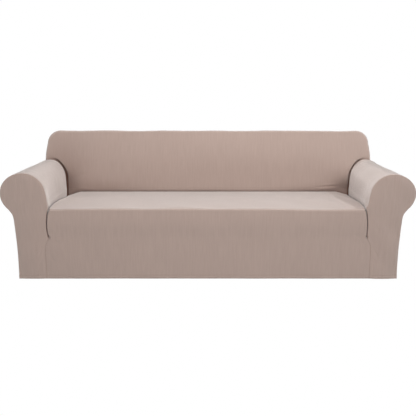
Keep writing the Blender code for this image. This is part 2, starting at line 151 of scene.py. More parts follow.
def curveThrough(x, h, count):
    # points spaced evenly along a smooth curve through a line of points
    way = np.append(0.0, np.cumsum(np.hypot(np.diff(x), np.diff(h))))
    even = np.linspace(0.0, way[-1], count)
    return glide(even, way, x), glide(even, way, h)


def runLength(*axes):
    # length along the last axis of a grid, from its first point
    step = np.sqrt(sum(np.diff(axis, axis=-1) ** 2 for axis in axes))
    return np.concatenate([np.zeros(step.shape[:-1] + (1,)), np.cumsum(step, axis=-1)], axis=-1)


def turnedEdge(turn, radius, straight, turnSteps, flangeSteps):
    # an edge that turns in by an arc and then runs straight: (across, depth, length) line by line
    arc = radius * np.pi / 2.0 * np.arange(1, turnSteps + 1)[:, None] / turnSteps
    turn = np.maximum(turn, 1e-6)
    angle = turn * arc / radius
    across = radius / turn * np.sin(angle)
    depth = radius / turn * (1.0 - np.cos(angle))
    share = np.arange(1, flangeSteps + 1)[:, None] / flangeSteps
    across = np.vstack([across, across[-1] + straight * share * np.cos(angle[-1])])
    depth = np.vstack([depth, depth[-1] + straight * share * np.sin(angle[-1])])
    length = np.vstack([arc + 0.0 * turn, arc[-1] + straight * share])
    return across, depth, length


def edgeShades(turn, size):
    # for each line of a turned edge, its painted shade (turn squared where the crease is open, else the
    # seam's painted dark line at its foot), and how far down the flange it is
    lines = np.arange(size["turnSteps"] + size["flangeSteps"])[:, None]
    opened = turn ** 2 * ease((lines + 2.0) / size["turnSteps"])
    sewn = cover["seamShade"] * np.maximum(0.0, 0.5 * (lines + 3.0 - len(lines)))
    foot = np.maximum(0.0, (lines[:, 0] + 1.0 - size["turnSteps"]) / size["flangeSteps"])
    return np.maximum(opened, sewn), foot


def gathered(count, share):
    # columns from -1 to 1 that lie closer together towards both ends: (1 + share) s - share sss
    s = np.linspace(-1.0, 1.0, count)
    return (1.0 + share) * s - share * s ** 3


def fillPatch(left, right, bottom, top):
    # a grid between four border lines: both straight blends added, less the corners' blend
    v = np.linspace(0.0, 1.0, len(left))[:, None, None]
    u = np.linspace(0.0, 1.0, len(bottom))[None, :, None]
    rows = (1.0 - u) * left[:, None] + u * right[:, None]
    columns = (1.0 - v) * bottom[None] + v * top[None]
    low = (1.0 - u) * left[0] + u * right[0]
    high = (1.0 - u) * left[-1] + u * right[-1]
    return rows + columns - (1.0 - v) * low - v * high


def gridFaces(index, keep=None):
    # quads of a grid of point numbers, facing the side where columns run right and rows up
    quads = np.stack([index[:-1, :-1], index[:-1, 1:], index[1:, 1:], index[1:, :-1]], axis=-1)
    return quads.reshape(-1, 4) if keep is None else quads[keep]


def rimLoop(rows, columns):
    # point numbers up a grid's left side, along its top row and down its right side
    index = np.arange(rows * columns).reshape(rows, columns)
    return np.concatenate([index[:, 0], index[-1, 1:-1], index[::-1, -1]])


def bandedFaces(rows, columns, bands, keep=None):
    # faces of a grid with lines of cloth added round its left side, top and right side
    loop = rimLoop(rows, columns)
    added = rows * columns + np.arange(bands * len(loop)).reshape(bands, len(loop))
    inner = gridFaces(np.arange(rows * columns).reshape(rows, columns))
    return np.vstack([inner, gridFaces(np.vstack([loop, added]), keep)])


# The sofa's form under the cloth

# A pair such as (0.50, 0.10) is a place and the distance from there over which something sets in
back = {
    "height": 0.808,             # top front edge
    "halfWidth": 1.079,          # under its top corners
    "sideLean": 0.012,           # how much further out each side is at the arm's top
    "cornerRadius": 0.085,
    "edgeRadius": 0.018,
    "topFall": 0.035,            # how much lower the top is at the rear
    "footY": 0.580, "footH": 0.414,
    "kneeY": 0.620,              # the face at the arm's top
    "headY": 0.680,              # the face at the top edge
    "knee": 0.030,               # how softly the two slopes meet
    "behindArm": 0.003,
    "gapDepth": 0.026,           # the cloth is pushed in this far behind each arm's rear end
    "gapWidth": 0.0205, "gapEdge": 0.006,
    "gapNarrow": 0.010, "gapNarrowH": (0.50, 0.10),    # narrower over the arm's top
    "gapEndX": (0.935, 0.130),   # it ends where the arm passes the back's side
    "undercut": 0.007, "undercutBelow": 0.009, "undercutHigh": 0.014,     # hollow just above the seat
}

# Soft pockets of the back beside the arms: place, size, depth and the painted shade in them
pockets = table(
    "x h wide tall depth dim",
    (0.94, 0.412, 0.1, 0.06, 0.03, 0.1),
    (0.92, 0.408, 0.19, 0.058, 0.0, 0.38),
    (0.93, 0.545, 0.1, 0.07, -0.008, 0.0),
    (-0.94, 0.44, 0.062, 0.1, 0.02, 0.26),
    (-0.98, 0.56, 0.17, 0.21, 0.0, 0.24),
    (-0.74, 0.415, 0.26, 0.055, 0.004, 0.24),
    (0.66, 0.412, 0.18, 0.026, 0.003, 0.1),
)

roll = {
    "centreX": 1.047, "centreH": 0.500,
    "radius": 0.121,
    "innerRadius": 0.1255,       # half widths of the roll on its inner and outer side
    "outerRadius": 0.131,
    "taper": 0.41,               # share by which the inner half narrows for each metre of depth
    "endLength": 0.022,          # the rear end rounds in against the back
    "endDepth": 0.014,
    "edgeRadius": 0.0035,        # rolled border of an arm front, and its flat seam edge
    "edgeFlat": 0.002,
    "innerAngle": 168.0,         # where the inner side meets the roll, in degrees
    "sagLeft": 0.0, "sagRight": 0.0070,      # how much lower the cover lies on each arm
    "sagH": (0.46, 0.14), "sagY": (0.60, -0.035), "sagOutside": 0.05, "sagRearY": (0.855, -0.12),
    "leanLeft": 0.005, "leanRight": 0.006,   # how far each arm's inner side leans in towards the back
    "leanY": (0.02, 0.40), "leanH": (0.61, -0.11), "leanOver": 0.06,
}
rollEnd = -45.0      # the roll's outer side ends at this angle, in degrees
armTop = roll["centreH"] + roll["radius"]
# outside this the arm runs on to the rear seam
runOnX = back["halfWidth"] + back["sideLean"] - cover["cloth"]
runOnAngle = math.degrees(math.acos((runOnX - roll["centreX"]) / roll["outerRadius"]))
runOnH = roll["centreH"] + roll["radius"] * math.sin(math.radians(runOnAngle))

# An arm's outline in the front plane: inside below the roll, and outside under it
armInner = table("x h", (0.9060, 0.4205), (0.9112, 0.4390), (0.9155, 0.4756))
armOuter = table(
    "x h",
    (1.1265, 0.398), (1.1165, 0.382), (1.111, 0.36), (1.1085, 0.33),
    (1.105, 0.27), (1.1012, 0.18), (1.101, 0.09), (1.1025, 0.0),
)


def seamLine(h, side):
    # how far out the front seam is at height h on one side
    return follow(frontSeam, h, "x", "left" if side < 0.0 else "right")


def creaseLine(y, side):
    # how far out the seat's crease is at depth y on one side
    return follow(seatCrease, y, "x", "left" if side < 0.0 else "right")


def slitLines(seamH, count):
    # the front seam's opening, its turn and its nearness to the upper end, then a plain turned edge's
    rest = np.ones(count - len(seamH))
    opening = np.append(follow(frontSeam, seamH, "open"), 0.0 * rest)
    turn = np.append(np.clip(follow(frontSeam, seamH, "turn"), 0.0, 1.0), rest)
    return opening, turn, np.append(ease((seamH - seamH[-1] + cover["slitFade"]) / cover["slitFade"]), rest)


def backFaceY(h):
    # face of the inside back: a lower and an upper slope that meet at the arm's top, eased into each other
    # over the knee: lower slope + (upper - lower) * knee * log(1 + exp(above / knee))
    lower = (back["kneeY"] - back["footY"]) / (armTop - back["footH"])
    upper = (back["headY"] - back["kneeY"]) / (back["height"] - armTop)
    above = (h - armTop) / back["knee"]
    return back["kneeY"] + lower * (h - armTop) + (upper - lower) * back["knee"] * np.logaddexp(0.0, above)


def gapShare(x):
    # the crevice behind an arm's end: whole along its inner side, gone where the arm passes the back's side
    return 1.0 - setIn(np.abs(x), *back["gapEndX"])


def rearHeight(h):
    # height at the rear plane of cloth that leaves the back's front edge at height h
    return h - back["topFall"] * np.clip((h - armTop) / (back["height"] - armTop), 0.0, 1.0)


def rollPoints(degrees):
    # the arm roll from its inner side (180 degrees) over the top (90) to the outside
    angle = np.radians(degrees)
    width = np.where(np.cos(angle) < 0.0, roll["innerRadius"], roll["outerRadius"])
    return roll["centreX"] + width * np.cos(angle), roll["centreH"] + roll["radius"] * np.sin(angle)


def rollArc(start, end):
    # roll points about every 3 degrees between two angles
    return rollPoints(np.linspace(start, end, max(2, round(abs(end - start) / 3.0) + 1)))


def settled(x, y, h, side):
    # each arm's own shape: its top sags, and its inner side leans in towards the back
    word = "Left" if side < 0.0 else "Right"
    outside = ease((x - runOnX) / roll["sagOutside"]) * setIn(y, *roll["sagRearY"])
    sag = roll["sag" + word] * setIn(h, *roll["sagH"]) * np.maximum(setIn(y, *roll["sagY"]), outside)
    inner = ease((roll["centreX"] - x) / roll["leanOver"])
    return x - roll["lean" + word] * setIn(y, *roll["leanY"]) * setIn(h, *roll["leanH"]) * inner, h - sag


def outerLine(startAngle, count):
    # the arm's outside from a place on the roll, under it and down to the hem
    onRoll = startAngle > rollEnd + 1.0
    rollX, rollH = rollArc(startAngle, rollEnd) if onRoll else rollPoints(np.array([rollEnd]))
    return curveThrough(np.append(rollX, armOuter["x"]), np.append(rollH, armOuter["h"]), count)


# Relief: everything below is a height on the cloth, from its flat place (u across the ribs, v along them)

hem = {
    "depth": 0.021,              # the stitch line above the edge
    "stand": 0.0007, "standFade": 0.003,     # the doubled cloth stands out
    "draw": 0.0010, "drawWidth": 0.0022,     # the stitch line draws in
    "pucker": 0.0005, "puckerLength": 0.013, "puckerWidth": 0.007,
    "wander": (1.5, 0.2, 5.0, 3),
}


def ripples(u, v, height, lengthU, lengthV, count, seed):
    # sum of cosines of random slopes up to 1 / length each way, scaled to this mean height
    draw = np.random.default_rng(seed)
    total = np.zeros_like(u)
    for _ in range(count):
        slopeU, slopeV = draw.uniform(-1.0, 1.0, 2)
        total += np.cos(2.0 * np.pi * (slopeU * u / lengthU + slopeV * v / lengthV + draw.uniform()))
    return height * (total * math.sqrt(2.0 / count))


def creases(u, v, rows):
    # soft troughs (depth under 0) and ridges: depth * exp(-(across / width)^2), fading to both ends
    total = np.zeros_like(u)
    for u0, v0, u1, v1, bow, width, depth in zip(*rows.values()):
        length = math.hypot(u1 - u0, v1 - v0)
        along = ((u - u0) * (u1 - u0) + (v - v0) * (v1 - v0)) / length ** 2
        across = ((u - u0) * (v0 - v1) + (v - v0) * (u1 - u0)) / length
        across = across - bow * (1.0 - (2.0 * np.clip(along, 0.0, 1.0) - 1.0) ** 2)
        ends = ease(along / 0.35) * ease((1.0 - along) / 0.35)
        total += depth * ends * np.exp(-(across / width) ** 2)
    return total


def hemRelief(v, u, seed):
    # the doubled hem stands out a little, its stitch line draws in, and its edge waves slightly
    above = v - hem["depth"]
    doubled = hem["stand"] * (1.0 - ease(above / hem["standFade"]))
    stitched = hem["draw"] * np.exp(-(above / hem["drawWidth"]) ** 2)
    wave = np.sin(2.0 * np.pi * u / hem["puckerLength"] + ripples(u, v, *hem["wander"], seed))
    return doubled - stitched + hem["pucker"] * wave * np.exp(-(above / hem["puckerWidth"]) ** 2)


def surfaceNormals(points, faces):
    # a face's normal is the cross product of its diagonals, and a point's is the sum of its faces'
    corner = points[faces]
    faceNormal = np.cross(corner[:, 2] - corner[:, 0], corner[:, 3] - corner[:, 1])
    total = np.zeros_like(points)
    for k in range(4):
        np.add.at(total, faces[:, k], faceNormal)
    return total / np.maximum(np.linalg.norm(total, axis=1, keepdims=True), 1e-12)


def thicken(points, faces, thickness):
    # the sheet's hollow side, its outer side moved in along the normals, and a rim round every free edge
    count = len(points)
    start, end = faces.ravel(), np.roll(faces, -1, axis=1).ravel()
    free = ~np.isin(start * count + end, end * count + start)
    start, end = start[free], end[free]
    rim = np.stack([end, start, start + count, end + count], axis=1)
    hollow = points - surfaceNormals(points, faces) * thickness
    return np.vstack([points, hollow]), np.vstack([faces, faces[:, ::-1] + count, rim])


def addObject(name, data):
    thing = bpy.data.objects.new(name, data)
    bpy.context.scene.collection.objects.link(thing)
    return thing


def makePanel(name, node, points, cloth, faces, relief, paintedShade, side=1.0):
    # points moved out by their relief, given the cloth's thickness, and mirrored where side is -1
    used, faces = np.unique(faces, return_inverse=True)
    faces = faces.reshape(-1, 4)
    points = points[used]
    points = points + surfaceNormals(points, faces) * relief[used, None]
    points, faces = thicken(points, faces, cover["cloth"] - cover["reliefRoom"])
    cloth, paintedShade = np.tile(cloth[used], (2, 1)), np.tile(paintedShade[used], 2)
    points = points * (side, 1.0, 1.0) + origin
    if side < 0.0:
        faces = faces[:, ::-1]
    mesh = bpy.data.meshes.new(name)
    mesh.vertices.add(len(points))
    mesh.vertices.foreach_set("co", points.ravel())
    mesh.loops.add(faces.size)
    mesh.loops.foreach_set("vertex_index", faces.ravel())
    mesh.polygons.add(len(faces))
    mesh.polygons.foreach_set("loop_start", np.arange(0, faces.size, 4))
    mesh.update(calc_edges=True)
    mesh.validate()
    mesh.shade_smooth()
    mesh.uv_layers.new(name="cloth").data.foreach_set("uv", cloth[faces.ravel()].ravel())
    # painted shade per point, for creases, crevices, pockets and seams
    mesh.attributes.new("paintedShade", "FLOAT", "POINT").data.foreach_set("value", paintedShade)
    mesh.materials.append(knit)
    panel = addObject(name, mesh)
    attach(panel, "root")
    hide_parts(node)
    print("panel", name, len(faces), "faces")


# Materials

def fillInputs(tree, node, values):
    # a link or a plain value for each input
    for key, value in values.items():
        if isinstance(value, bpy.types.NodeSocket):
            tree.links.new(value, node.inputs[key])
        else:
            node.inputs[key].default_value = value
    return node


def addNode(tree, kind, values, **settings):
    node = tree.nodes.new("ShaderNode" + kind)
    for word, value in settings.items():
        setattr(node, word, value)
    return fillInputs(tree, node, values)


def mathNode(tree, operation, *values):
    return addNode(tree, "Math", dict(enumerate(values)), operation=operation).outputs[0]


def stretchedNoise(tree, place, scaleU, scaleV, detail):
    # noise over the cloth, finer across the ribs than along them
    spread = addNode(tree, "Mapping", {"Vector": place, "Scale": (scaleU, scaleV, 1.0)})
    noise = addNode(tree, "TexNoise", {"Vector": spread.outputs[0], "Scale": 1.0, "Detail": detail})
    return noise.outputs["Fac"]


def makeGroup(name, inputs, outputs):
    # a node group: inputs without a value are vectors, the others and all outputs are numbers
    group = bpy.data.node_groups.new(name, "ShaderNodeTree")
    for label, value in inputs.items():
        kind = "NodeSocketVector" if value is None else "NodeSocketFloat"
        socket = group.interface.new_socket(label, in_out="INPUT", socket_type=kind)
        if value is not None:
            socket.default_value = value
    for label in outputs:
        group.interface.new_socket(label, in_out="OUTPUT", socket_type="NodeSocketFloat")
    given = group.nodes.new("NodeGroupInput").outputs
    return group, given, group.nodes.new("NodeGroupOutput"), partial(mathNode, group)


knitFinish = {
    "colour": (0.390, 0.296, 0.257),         # taupe with a rose cast
    "paintedSheen": (0.61, 0.612, 0.615, 1.0),       # painted sheen, mixed in where the cloth is seen at a low angle
    "paintedSheenShare": 0.30,
    "shadeColour": (0.125, 0.062, 0.044, 1.0),      # painted shade colour, deep in creases, crevices and pockets
    "valleyShade": 0.16,                     # painted shade between two ribs
    "streakShade": 0.16, "streakScale": (130.0, 9.0, 2.0),
    "driftShade": 0.05, "driftScale": 5.0,   # slow patches of lighter and darker cloth
    "hemShade": 0.10, "hemShadeWidth": 0.004,
    "roughness": 0.92, "specular": 0.25,
    "sheen": 1.0, "sheenRoughness": 0.4, "sheenTint": (1.0, 0.95, 0.92, 1.0),
    "ribPitch": 0.0048, "ribHeight": 0.0005, "ribStrength": 0.4,
    "ribWander": 0.004, "wanderScale": (14.0, 7.0, 1.0),
    "stitchPitch": 0.0026, "stitchShare": 0.35,
    "threadHeight": 0.8, "threadStitch": 0.0036, "threadWidth": 0.0009,
}


def ribKnitGroup():
    # ribs: cos(2 pi u / pitch) with a slow wander; stitches: a finer wave along each rib
    group, given, out, calc = makeGroup(
        "ribKnit",
        {"Cloth": None, "Rib Pitch": 0.005, "Stitch Pitch": 0.003, "Wander": 0.0, "Stitch Share": 0.5},
        ("Height", "Valley", "Streak"))
    place = addNode(group, "SeparateXYZ", {0: given["Cloth"]}).outputs
    slow = stretchedNoise(group, given["Cloth"], *knitFinish["wanderScale"])
    shift = calc("MULTIPLY", calc("SUBTRACT", slow, 0.5), given["Wander"])
    phase = calc("DIVIDE", calc("ADD", place["X"], shift), given["Rib Pitch"])
    rib = calc("MULTIPLY_ADD", calc("COSINE", calc("MULTIPLY", phase, 2.0 * math.pi)), 0.5, 0.5)
    # every second rib is half a stitch on
    offset = calc("MULTIPLY", calc("FLOOR", calc("ADD", phase, 0.5)), 0.5)
    along = calc("ADD", calc("DIVIDE", place["Y"], given["Stitch Pitch"]), offset)
    stitch = calc("MULTIPLY_ADD", calc("COSINE", calc("MULTIPLY", along, 2.0 * math.pi)), 0.5, 0.5)
    raised = calc("MULTIPLY", calc("MULTIPLY", stitch, rib), given["Stitch Share"])
    fillInputs(group, out, {
        "Height": calc("ADD", rib, raised),
        "Valley": calc("SUBTRACT", 1.0, rib),
        "Streak": stretchedNoise(group, given["Cloth"], *knitFinish["streakScale"]),
    })
    return group


def hemStitchGroup():
    # a row of short stitches at one height above the hem: 1 on the thread, 0 elsewhere
    group, given, out, calc = makeGroup(
        "hemStitch", {"Cloth": None, "Line": 0.02, "Stitch": 0.004, "Thread": 0.001, "Shade Width": 0.004},
        ("Thread", "Line"))
    place = addNode(group, "SeparateXYZ", {0: given["Cloth"]}).outputs
    away = calc("ABSOLUTE", calc("SUBTRACT", place["Y"], given["Line"]))
    near = calc("SUBTRACT", 1.0, calc("DIVIDE", away, given["Thread"]))
    turn = calc("MULTIPLY", calc("DIVIDE", place["X"], given["Stitch"]), 2.0 * math.pi)
    dash = calc("MULTIPLY_ADD", calc("COSINE", turn), 0.9, 0.55)    # a little more thread than gap
    thread = calc("MULTIPLY", calc("MAXIMUM", near, 0.0), calc("MAXIMUM", dash, 0.0))
    wide = calc("SUBTRACT", 1.0, calc("DIVIDE", away, given["Shade Width"]))
    fillInputs(group, out, {"Thread": calc("MINIMUM", thread, 1.0), "Line": calc("MAXIMUM", wide, 0.0)})
    return group


def toneDriftGroup():
    # slow patches of slightly lighter and darker cloth, over the object's own place
    group, given, out, _ = makeGroup("toneDrift", {"Place": None, "Scale": 5.0}, ("Tone",))
    noise = addNode(group, "TexNoise", {"Vector": given["Place"], "Scale": given["Scale"], "Detail": 3.0})
    fillInputs(group, out, {"Tone": noise.outputs["Fac"]})
    return group


def makeKnit():
    finish = knitFinish
    material = bpy.data.materials.new("knitTaupe")
    material.use_nodes = True
    tree = material.node_tree
    calc = partial(mathNode, tree)
    cloth = addNode(tree, "UVMap", {}, uv_map="cloth").outputs[0]
    place = addNode(tree, "TexCoord", {}).outputs["Object"]
    paintedShade = addNode(tree, "Attribute", {}, attribute_name="paintedShade").outputs["Fac"]
    ribs = addNode(tree, "Group", {}, node_tree=ribKnitGroup())
    fillInputs(tree, ribs, {
        "Cloth": cloth, "Rib Pitch": finish["ribPitch"], "Stitch Pitch": finish["stitchPitch"],
        "Wander": finish["ribWander"], "Stitch Share": finish["stitchShare"]})
    stitches = addNode(tree, "Group", {}, node_tree=hemStitchGroup())
    fillInputs(tree, stitches, {
        "Cloth": cloth, "Line": hem["depth"], "Stitch": finish["threadStitch"],
        "Thread": finish["threadWidth"], "Shade Width": finish["hemShadeWidth"]})
    drift = addNode(tree, "Group", {}, node_tree=toneDriftGroup())
    fillInputs(tree, drift, {"Place": place, "Scale": finish["driftScale"]})

    # brightness = 1 + streak + drift - valley (painted shade between ribs) - hem line
    tone = calc("MULTIPLY", ribs.outputs["Valley"], -finish["valleyShade"])
    tone = calc("MULTIPLY_ADD", calc("SUBTRACT", ribs.outputs["Streak"], 0.5), finish["streakShade"], tone)
    tone = calc("MULTIPLY_ADD", calc("SUBTRACT", drift.outputs["Tone"], 0.5), finish["driftShade"], tone)
    tone = calc("MULTIPLY_ADD", stitches.outputs["Line"], -finish["hemShade"], tone)
    tone = calc("ADD", tone, 1.0 + 0.5 * finish["valleyShade"])
    paint = addNode(tree, "VectorMath", {0: finish["colour"]}, operation="SCALE")
    fillInputs(tree, paint, {"Scale": tone})
    # painted sheen: paler where it is seen at a low angle; painted shade: darker towards the shade colour in
    # creases, crevices and pockets
    facing = addNode(tree, "LayerWeight", {}).outputs["Facing"]
    paintedSheenMix = calc("MULTIPLY", calc("MULTIPLY", facing, finish["paintedSheenShare"]), calc("SUBTRACT", 1.0, paintedShade))
    colour = paint.outputs[0]
    for share, other in ((paintedSheenMix, finish["paintedSheen"]), (paintedShade, finish["shadeColour"])):
        blend = addNode(tree, "Mix", {}, data_type="RGBA")
        colour = fillInputs(tree, blend, {"Factor": share, "A": colour, "B": other}).outputs["Result"]
    height = calc("MULTIPLY_ADD", stitches.outputs["Thread"], finish["threadHeight"], ribs.outputs["Height"])
    bump = addNode(tree, "Bump", {
        "Distance": finish["ribHeight"], "Strength": finish["ribStrength"], "Height": height})
    fillInputs(tree, tree.nodes["Principled BSDF"], {
        "Base Color": colour, "Normal": bump.outputs[0],
        "Roughness": finish["roughness"], "Specular IOR Level": finish["specular"],
        "Sheen Weight": finish["sheen"], "Sheen Roughness": finish["sheenRoughness"],
        "Sheen Tint": finish["sheenTint"],
    })
    return material


knit = makeKnit()
print("materials made")


# Front skirt and seat, in one piece of cloth

seatFront = {
    "worn": (1.90, 1.06),        # width and length on the sofa
    "crown": 0.010,              # rise of the seat's middle
    "backDrop": 0.006,           # how much lower the seat is at its back
    "bulge": 0.0035,             # how far the cushion's front stands out
    "sideRadius": 0.0045,
    "height": 0.416,             # front edge of the seat
    "foldLeft": 0.3, "foldRight": 0.08,      # how gently the fall begins
    "droopLeft": 0.006, "droopRight": 0.004,     # how much lower each end of the front edge is
    "droopLeftX": (0.80, 0.09), "droopRightX": (0.30, 0.25), "droopLength": 0.25, "droopH": (0.20, 0.20),
    "rearLeft": 0.007, "rearLeftY": (0.30, 0.22),    # how much lower the left crease ends at the back
    "ridge": 0.004, "ridgeWidth": 0.016,     # the cushion's edge where the right fall begins
    "ridgeStart": 0.03, "ridgeY": (0.45, -0.20),
    # painted shade on the seat's fall to the right arm: its darkness, where it sets in, and how much wider
    # than the fall it reaches
    "fallShade": 0.36, "fallShadeStart": 0.12, "shadeWider": 0.055, "shadeWiderY": (0.35, 0.20),
    "fullTuck": 2.2,             # the tuck is whole at this many edge radii from the front
    "sewnTuck": 0.1,             # share of the slit's tuck that a sewn edge has
    "columns": 270, "gather": 0.2, "wallRows": 62, "edgeRows": 7, "seatRows": 66,
    "turnSteps": 5, "flangeSteps": 4,
    # slack and fine unevenness: height, lengths across and along the ribs, and how many waves
    "slack": (0.0014, 0.30, 0.22, 9), "fine": (0.0002, 0.05, 0.6, 12),
    "sideFade": 0.03, "rearFade": 0.04, "seatOver": 0.03,
}


def frontBulge(h):
    # the cushion's front is full, and the skirt below it hangs flat: bulge * sin(pi share)^1.5
    share = np.clip((h - cover["slitEnd"]) / (seatFront["height"] - cover["slitEnd"]), 0.0, 1.0)
    return seatFront["bulge"] * np.sin(np.pi * share) ** 1.5


def droop(x, y):
    # how far the seat's front edge sinks towards both ends
    right = seatFront["droopRight"] * setIn(x, *seatFront["droopRightX"])
    left = seatFront["droopLeft"] * setIn(-x, *seatFront["droopLeftX"])
    return (right + left) * (1.0 - ease(y / seatFront["droopLength"]))


def rearDrop(x, y):
    # how far the left crease sinks at the back
    return np.where(x < 0.0, seatFront["rearLeft"] * setIn(y, *seatFront["rearLeftY"]), 0.0)


def seatSurface(x, y):
    # the crowned seat, which rolls to each arm's crease
    size = seatFront
    share = np.clip(y / back["footY"], 0.0, 1.0)
    middle = size["height"] + size["crown"] * np.sin(np.pi * share) - size["backDrop"] * share ** 2
    crease = follow(seatCrease, y, "h") - rearDrop(x, y)
    edge = np.where(x < 0.0, creaseLine(y, -1.0), creaseLine(y, 1.0))
    width = np.where(x < 0.0, follow(seatCrease, y, "fallLeft"), follow(seatCrease, y, "fallRight"))
    inside = (edge - np.abs(x)) / width
    near = np.clip(1.0 - inside, 0.0, 1.0)
    softness = np.where(x < 0.0, size["foldLeft"], size["foldRight"])
    fall = near ** 2 * (1.0 + softness) / (near + softness)
    ridge = size["ridge"] * np.exp(-((inside - 1.0) * width / size["ridgeWidth"]) ** 2)
    rise = np.where(x < 0.0, 0.0, ridge * ease(y / size["ridgeStart"]) * setIn(y, *size["ridgeY"]))
    return middle + (crease - middle) * fall + rise - droop(x, y)


seatCreases = table(
    "u0 v0 u1 v1 bow width depth",
    (-0.905, 0.236, -0.845, 0.2, 0.004, 0.006, -0.0016),    # drag lines from the slits' ends
    (-0.905, 0.244, -0.82, 0.262, -0.004, 0.008, -0.0012),
    (0.905, 0.236, 0.85, 0.196, -0.004, 0.006, -0.0014),
    (0.905, 0.246, 0.83, 0.27, 0.004, 0.008, -0.0012),
    (-0.925, 0.15, -0.88, 0.085, 0.003, 0.007, -0.0012),
    (0.928, 0.165, 0.89, 0.11, -0.003, 0.007, -0.001),
)


def buildSeatFront():
    # rows climb from the hem, turn over the front edge and run back to the inside back
    size = seatFront
    radius = cover["frontEdgeRadius"]
    wallH = np.linspace(0.0, size["height"] - radius, size["wallRows"])
    edgeAngle = np.linspace(0.0, np.pi / 2.0, size["edgeRows"] + 2)[1:-1]
    share = np.linspace(0.0, 1.0, size["seatRows"])
    wall, edge = len(wallH), len(wallH) + len(edgeAngle)
    rows = edge + len(share)

    cornerH = seatCrease["h"][-1]
    cornerY = backFaceY(cornerH) - cover["backCreaseOpen"] - size["sideRadius"]
    sideY = np.concatenate([
        np.zeros(wall), radius * (1.0 - np.cos(edgeAngle)), radius + share * (cornerY - radius)])
    opening, turn, nearEdge = slitLines(wallH, rows)
    leftX, rightX = (np.concatenate([
        seamLine(wallH, way) - opening[:wall] - cover["seam"] / 2.0,
        np.full(len(edgeAngle), creaseLine(np.zeros(1), way)[0] - cover["creaseOpen"]),
        creaseLine(sideY[edge:], way) - cover["creaseOpen"],
    ]) for way in (-1.0, 1.0))
    straight = np.full(rows, cover["tuckDepth"] - size["sideRadius"])
    straight[edge:] = np.interp(
        sideY[edge:], (radius, size["fullTuck"] * radius), (cover["edgeTuck"], cover["tuckDepth"]))
    straight[edge:] -= size["sideRadius"]
    straight[:wall] = cover["slitTuck"] + frontBulge(wallH) - size["sideRadius"]
    straight[:wall] *= np.clip(turn[:wall], size["sewnTuck"], 1.0)
    straight[:wall] += (cover["edgeTuck"] - size["sideRadius"] - straight[:wall]) * nearEdge[:wall]
    straight[wall:edge] = cover["edgeTuck"] - size["sideRadius"]
    closing = opening * turn * (1.0 - nearEdge)
    closing[edge:] = (cover["creaseOpen"] - cover["seam"] / 2.0) * ease((sideY[edge:] - radius) / radius)
    across, depth, length = turnedEdge(
        turn, size["sideRadius"], straight, size["turnSteps"], size["flangeSteps"])

    s = gathered(size["columns"], size["gather"])
    rightX = (rightX - across[-1])[:, None]
    leftX = (across[-1] - leftX)[:, None]
    x = leftX + (rightX - leftX) * 0.5 * (1.0 + s)
    y = np.repeat(sideY[:, None], len(s), axis=1)
    h = np.zeros_like(x)
    y[:wall] = -frontBulge(wallH)[:, None]
    h[:wall] = wallH[:, None]
    h[wall:edge] = size["height"] - radius * (1.0 - np.sin(edgeAngle))[:, None]
    h[:edge] -= droop(x[:edge], 0.0 * x[:edge]) * setIn(h[:edge], *size["droopH"])
    farY = backFaceY(seatSurface(x[-1], y[-1])) - cover["backCreaseOpen"] - size["sideRadius"]
    y[edge:] = radius + share[:, None] * (farY - radius)
    h[edge:] = seatSurface(x[edge:], y[edge:])
    middle = len(s) // 2
    v = np.concatenate([[0.0], np.cumsum(np.hypot(np.diff(y[:, middle]), np.diff(h[:, middle])))])
    v = np.repeat(v[:, None], len(s), axis=1)
    inner = np.stack([x, y, h], axis=-1).reshape(-1, 3)

    inward = np.zeros((rows, 3))
    inward[:wall, 1] = 1.0
    inward[wall:edge, 1] = np.cos(edgeAngle)
    inward[wall:edge, 2] = -np.sin(edgeAngle)
    inward[edge:, 2] = -1.0

    loop = rimLoop(*x.shape)
    row, column = np.divmod(loop, len(s))
    start = inner[loop]
    startCloth = np.stack([x.ravel(), v.ravel()], axis=1)[loop]
    side = np.where(np.isin(column, (0, len(s) - 1)), np.sign(start[:, 0]), 0.0)
    atRear = row == rows - 1
    # painted shade on the seat's fall to the right arm
    width = follow(seatCrease, y[edge:], "fallRight")
    width += size["shadeWider"] * setIn(y[edge:], *size["shadeWiderY"])
    inFall = 1.0 - (creaseLine(y[edge:], 1.0) - x[edge:]) / width
    paintedFallShade = np.zeros_like(x)
    paintedFallShade[edge:] = size["fallShade"] * ease(inFall / size["fallShadeStart"]) * (0.8 + 0.2 * inFall)
    points, cloth, paintedShade = [inner], [np.stack([x.ravel(), v.ravel()], axis=1)], [paintedFallShade.ravel()]
    # each turned line carries painted shade in the crease, or along the sewn seam
    for lineAcross, lineDepth, lineLength, shade, foot in zip(across, depth, length, *edgeShades(turn, size)):
        paintedShade.append(shade[row])
        line = start + inward[row] * lineDepth[row][:, None]
        line[:, 0] += side * (lineAcross[row] + closing[row] * foot)
        toBack = backFaceY(line[:, 2]) - cover["seam"] - line[:, 1] - lineAcross[-1]
        line[:, 1] += np.where(atRear, lineAcross[-1] + toBack * foot, 0.0)
        points.append(line)
        cloth.append(startCloth + np.stack([side, atRear * 1.0], axis=1) * lineLength[row][:, None])
    points, cloth, paintedShade = np.vstack(points), np.vstack(cloth), np.concatenate(paintedShade)

    # the relief fades out at the sewn sides and at the creases
    innerFade = ease(np.minimum(rightX - x, x - leftX) / size["sideFade"])
    innerFade *= ease((v[-1] - v) / size["rearFade"])
    fade = np.append(innerFade.ravel(), np.zeros(len(points) - x.size))
    u, v = cloth.T
    onSeat = setIn(v, size["height"], size["seatOver"])
    relief = ripples(u, v, *size["slack"], 11) * (0.5 + 0.5 * onSeat)
    relief += ripples(u, v, *size["fine"], 12) * (1.0 - onSeat)
    relief += creases(u, v, seatCreases)
    relief = relief * fade + hemRelief(v, u, 13)
    faces = bandedFaces(rows, len(s), len(across))
    makePanel("skirtAndSeat", "seat_front", points, cloth, faces, relief, paintedShade)


# Back

